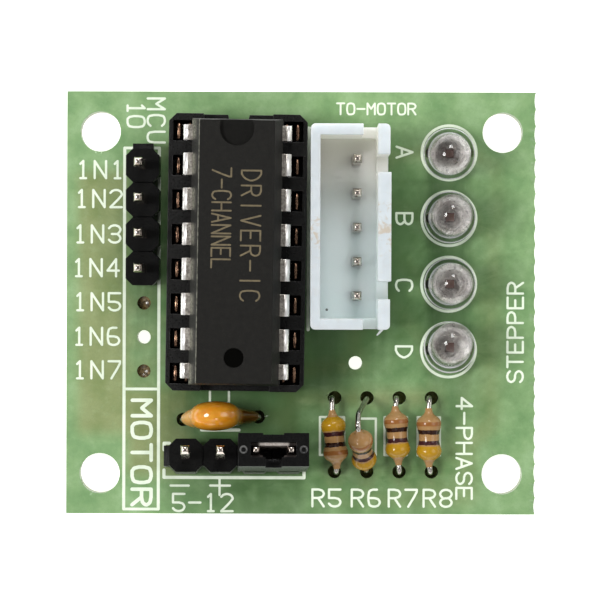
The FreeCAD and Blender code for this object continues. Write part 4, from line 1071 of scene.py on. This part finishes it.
def make_resistor(name, place, flip, shift):
    """A lacquered dog-bone coat along the placement's +Y, its bands counted from one end."""
    half = [(0.0, 0.755), (0.3, 0.768), (0.55, 0.83), (0.82, 0.905), (1.08, 0.93), (1.3, 0.865),
            (1.48, 0.71), (1.62, 0.52), (1.76, 0.375), (1.95, 0.285), (2.2, 0.23)]
    profile = [(-along, radius) for along, radius in half[:0:-1]] + half
    profile = [(-2.2, 0.0)] + smooth_profile(profile, 4) + [(2.2, 0.0)]
    bm = lathe(profile, 48)
    layer = bm.verts.layers.float.new("along")
    for vert in bm.verts:
        vert[layer] = vert.co.z / MM * (-1 if flip else 1)
        swell = 0.012 * math.sin(vert.co.z / MM * 5.0 + 7 * shift) * MM
        radial = Vector((vert.co.x, vert.co.y, 0))
        if radial.length > 0.5 * MM:
            vert.co += radial.normalized() * swell * 0.5
    mesh = finished(moved(bm, place @ about("X", -90)), f"resistor_{name}_body", 60)
    add_object(f"resistor_{name}_body", mesh, resistor_look(name, shift), "root",
               [f"resistor_{name}_coat"])
    dressed(f"resistor_{name}_leads", resistor_wire)
    dressed(f"resistor_{name}_core", ceramic)


def flat_place(column, north_shift, south_shift, slide):
    """Lying on the board, each end pushed sideways a little and the whole slid along."""
    skew = math.atan2(south_shift - north_shift, 2 * BULGE_OFFSET)
    x = FIRST_RESISTOR_X + column * RESISTOR_SPACING + (north_shift + south_shift) / 2
    return (Matrix.Translation((x, RESISTOR_MIDDLE_Y + slide, BOARD_TOP + RESISTOR_AXIS_HEIGHT))
            @ Matrix.Rotation(skew, 4, "Z"))


def raised_place():
    """Standing up from its south hole at 45 degrees."""
    x = FIRST_RESISTOR_X + RESISTOR_SPACING + RAISED_SHIFT_X
    y = RESISTOR_MIDDLE_Y - RESISTOR_HOLE_SPAN / 2 + RAISED_FROM_HOLE_Y
    z = BOARD_TOP + BULGE_RADIUS + RAISED_GAP + BULGE_OFFSET * math.sin(math.radians(RAISED_CLIMB))
    return Matrix.Translation((x, y, z)) @ about("Z", RAISED_TURN) @ about("X", RAISED_CLIMB)


make_resistor("r5", flat_place(0, -0.11, 0.08, -0.3), True, -0.04)
make_resistor("r6", raised_place(), False, 0.05)
make_resistor("r7", flat_place(2, -0.27, -0.13, 0.0), False, 0.03)
make_resistor("r8", flat_place(3, -0.24, -0.22, -0.15), False, 0.0)


# ---- capacitor
CAPACITOR_X, CAPACITOR_Y, CAPACITOR_TURN = -5.98, -8.62, 2.1
CAPACITOR_SHIFT, CAPACITOR_MIDDLE = -0.35, 2.15
CAPACITOR_LEAN = 7.0  # degrees to the north
CAPACITOR_LEAD_X, SKIRT_FOOT = 2.7, 0.35
# side, then the place of the top from the disc's middle, its height and its radius
SKIRTS = [(-1, 1.2, 1.35, 0.86), (1, 1.2, 1.35, 0.76), (-1, 1.25, 2.05, 0.74),
          (1, 1.25, 2.05, 0.62)]


def make_capacitor():
    """A dipped disc, and on each side two skirts of dip that run down its lead as one skin."""
    half = [(0.0, 1.9), (0.32, 1.86), (0.54, 1.75), (0.73, 1.56), (0.89, 1.3), (1.0, 0.95),
            (1.07, 0.5)]
    profile = [(-along, radius) for along, radius in half[:0:-1]] + half
    profile = [(-1.11, 0.0)] + smooth_profile(profile, 4) + [(1.11, 0.0)]
    bm = lathe(profile, 64)
    moved(bm, Matrix.Translation((CAPACITOR_SHIFT, 0, CAPACITOR_MIDDLE)) @ about("X", -90))
    for side, reach, rise, width in SKIRTS:
        top = Vector((CAPACITOR_SHIFT + side * reach, 0, rise))
        along = Vector((side * CAPACITOR_LEAD_X, 0, SKIRT_FOOT)) - top
        skirt = lathe([(-0.5, 0.0), (-0.5, 0.93 * width), (0.0, width),
                       (along.length * 0.6, 0.78 * width), (along.length - 0.05, 0.42),
                       (along.length, 0.3), (along.length, 0.0)], 32)
        moved(skirt, Matrix.Translation(top) @ turned_to(along))
        join(bm, skirt)
    place = (Matrix.Translation((CAPACITOR_X, CAPACITOR_Y, BOARD_TOP))
             @ about("Z", CAPACITOR_TURN) @ about("X", -CAPACITOR_LEAN))
    mesh = finished(moved(bm, place), "capacitor_body", 180)
    obj = add_object("capacitor_body", mesh, capacitor_look(), "root",
                     ["capacitor_coat"])
    skin = obj.modifiers.new("one_skin", "REMESH")
    skin.mode = "VOXEL"
    skin.voxel_size = 0.075 * MM
    skin.use_smooth_shade = True
    flow = obj.modifiers.new("dip_flow", "SMOOTH")
    flow.factor = 0.6
    flow.iterations = 55
    dressed("capacitor_leads", resistor_wire)
    dressed("capacitor_chip", ceramic)


make_capacitor()


# ---- floor, lights and camera
FLOOR_HALF = 600.0
LIGHT_DISTANCE = 350.0
CAMERA_HEIGHT = 215.0  # above the board's top
CAMERA_X, CAMERA_Y, CAMERA_TURN = -0.09, 0.216, 0.18
VIEW_ANGLE = 11.89


def make_floor():
    bm = bmesh.new()
    grid = bmesh.ops.create_grid(bm, x_segments=8, y_segments=8, size=FLOOR_HALF * MM)
    bmesh.ops.translate(bm, verts=grid["verts"], vec=(0, 0, cad_box[0].z))
    mesh = finished(bm, "floor")
    floor = bpy.data.objects.new("floor", mesh)
    bpy.context.scene.collection.objects.link(floor)
    mesh.materials.append(floor_look())


def soft_light(name, azimuth, elevation, size, radiance):
    """A round soft box aimed at the module, with a given brightness."""
    light = bpy.data.lights.new(name, "AREA")
    light.shape = "DISK"
    light.size = size * MM
    light.energy = radiance * math.pi * math.pi * (size * MM / 2) ** 2
    lamp = bpy.data.objects.new(name, light)
    bpy.context.scene.collection.objects.link(lamp)
    azimuth, elevation = math.radians(azimuth), math.radians(elevation)
    direction = Vector((math.cos(azimuth) * math.cos(elevation),
                        math.sin(azimuth) * math.cos(elevation), math.sin(elevation)))
    lamp.location = direction * LIGHT_DISTANCE * MM
    lamp.rotation_euler = direction.to_track_quat("Z", "Y").to_euler()


def set_stage():
    """The floor, four soft boxes, a sky that is dimmer overhead, and the camera."""
    make_floor()
    soft_light("soft_box_west", 180, 52, 120, 20.8)
    soft_light("soft_box_north", 88, 46, 120, 13.6)
    soft_light("soft_box_east", 2, 48, 220, 2.2)
    soft_light("soft_box_south", -92, 44, 220, 0.8)
    world = bpy.data.worlds.new("studio")
    world.use_nodes = True
    tree = world.node_tree
    background = tree.nodes["Background"]
    direction = tree.nodes.new("ShaderNodeTexCoord")
    parts = tree.nodes.new("ShaderNodeSeparateXYZ")
    height = tree.nodes.new("ShaderNodeMapRange")
    tree.links.new(direction.outputs["Generated"], parts.inputs["Vector"])
    tree.links.new(parts.outputs["Z"], height.inputs["Value"])
    for key, value in (("From Min", 0.5), ("From Max", 1.0), ("To Min", 0.5), ("To Max", 0.12)):
        height.inputs[key].default_value = value
    tree.links.new(height.outputs["Result"], background.inputs["Strength"])
    background.inputs["Color"].default_value = (1.0, 1.0, 1.0, 1.0)
    scene = bpy.context.scene
    scene.world = world
    scene.view_settings.view_transform = "Standard"
    camera = bpy.data.cameras.new("camera")
    camera.angle = math.radians(VIEW_ANGLE)
    camera.clip_start = 0.01
    viewer = bpy.data.objects.new("camera", camera)
    scene.collection.objects.link(viewer)
    viewer.location = Vector((CAMERA_X, CAMERA_Y, BOARD_TOP + CAMERA_HEIGHT)) * MM
    viewer.rotation_euler = (0, 0, math.radians(CAMERA_TURN))
    scene.camera = viewer


set_stage()
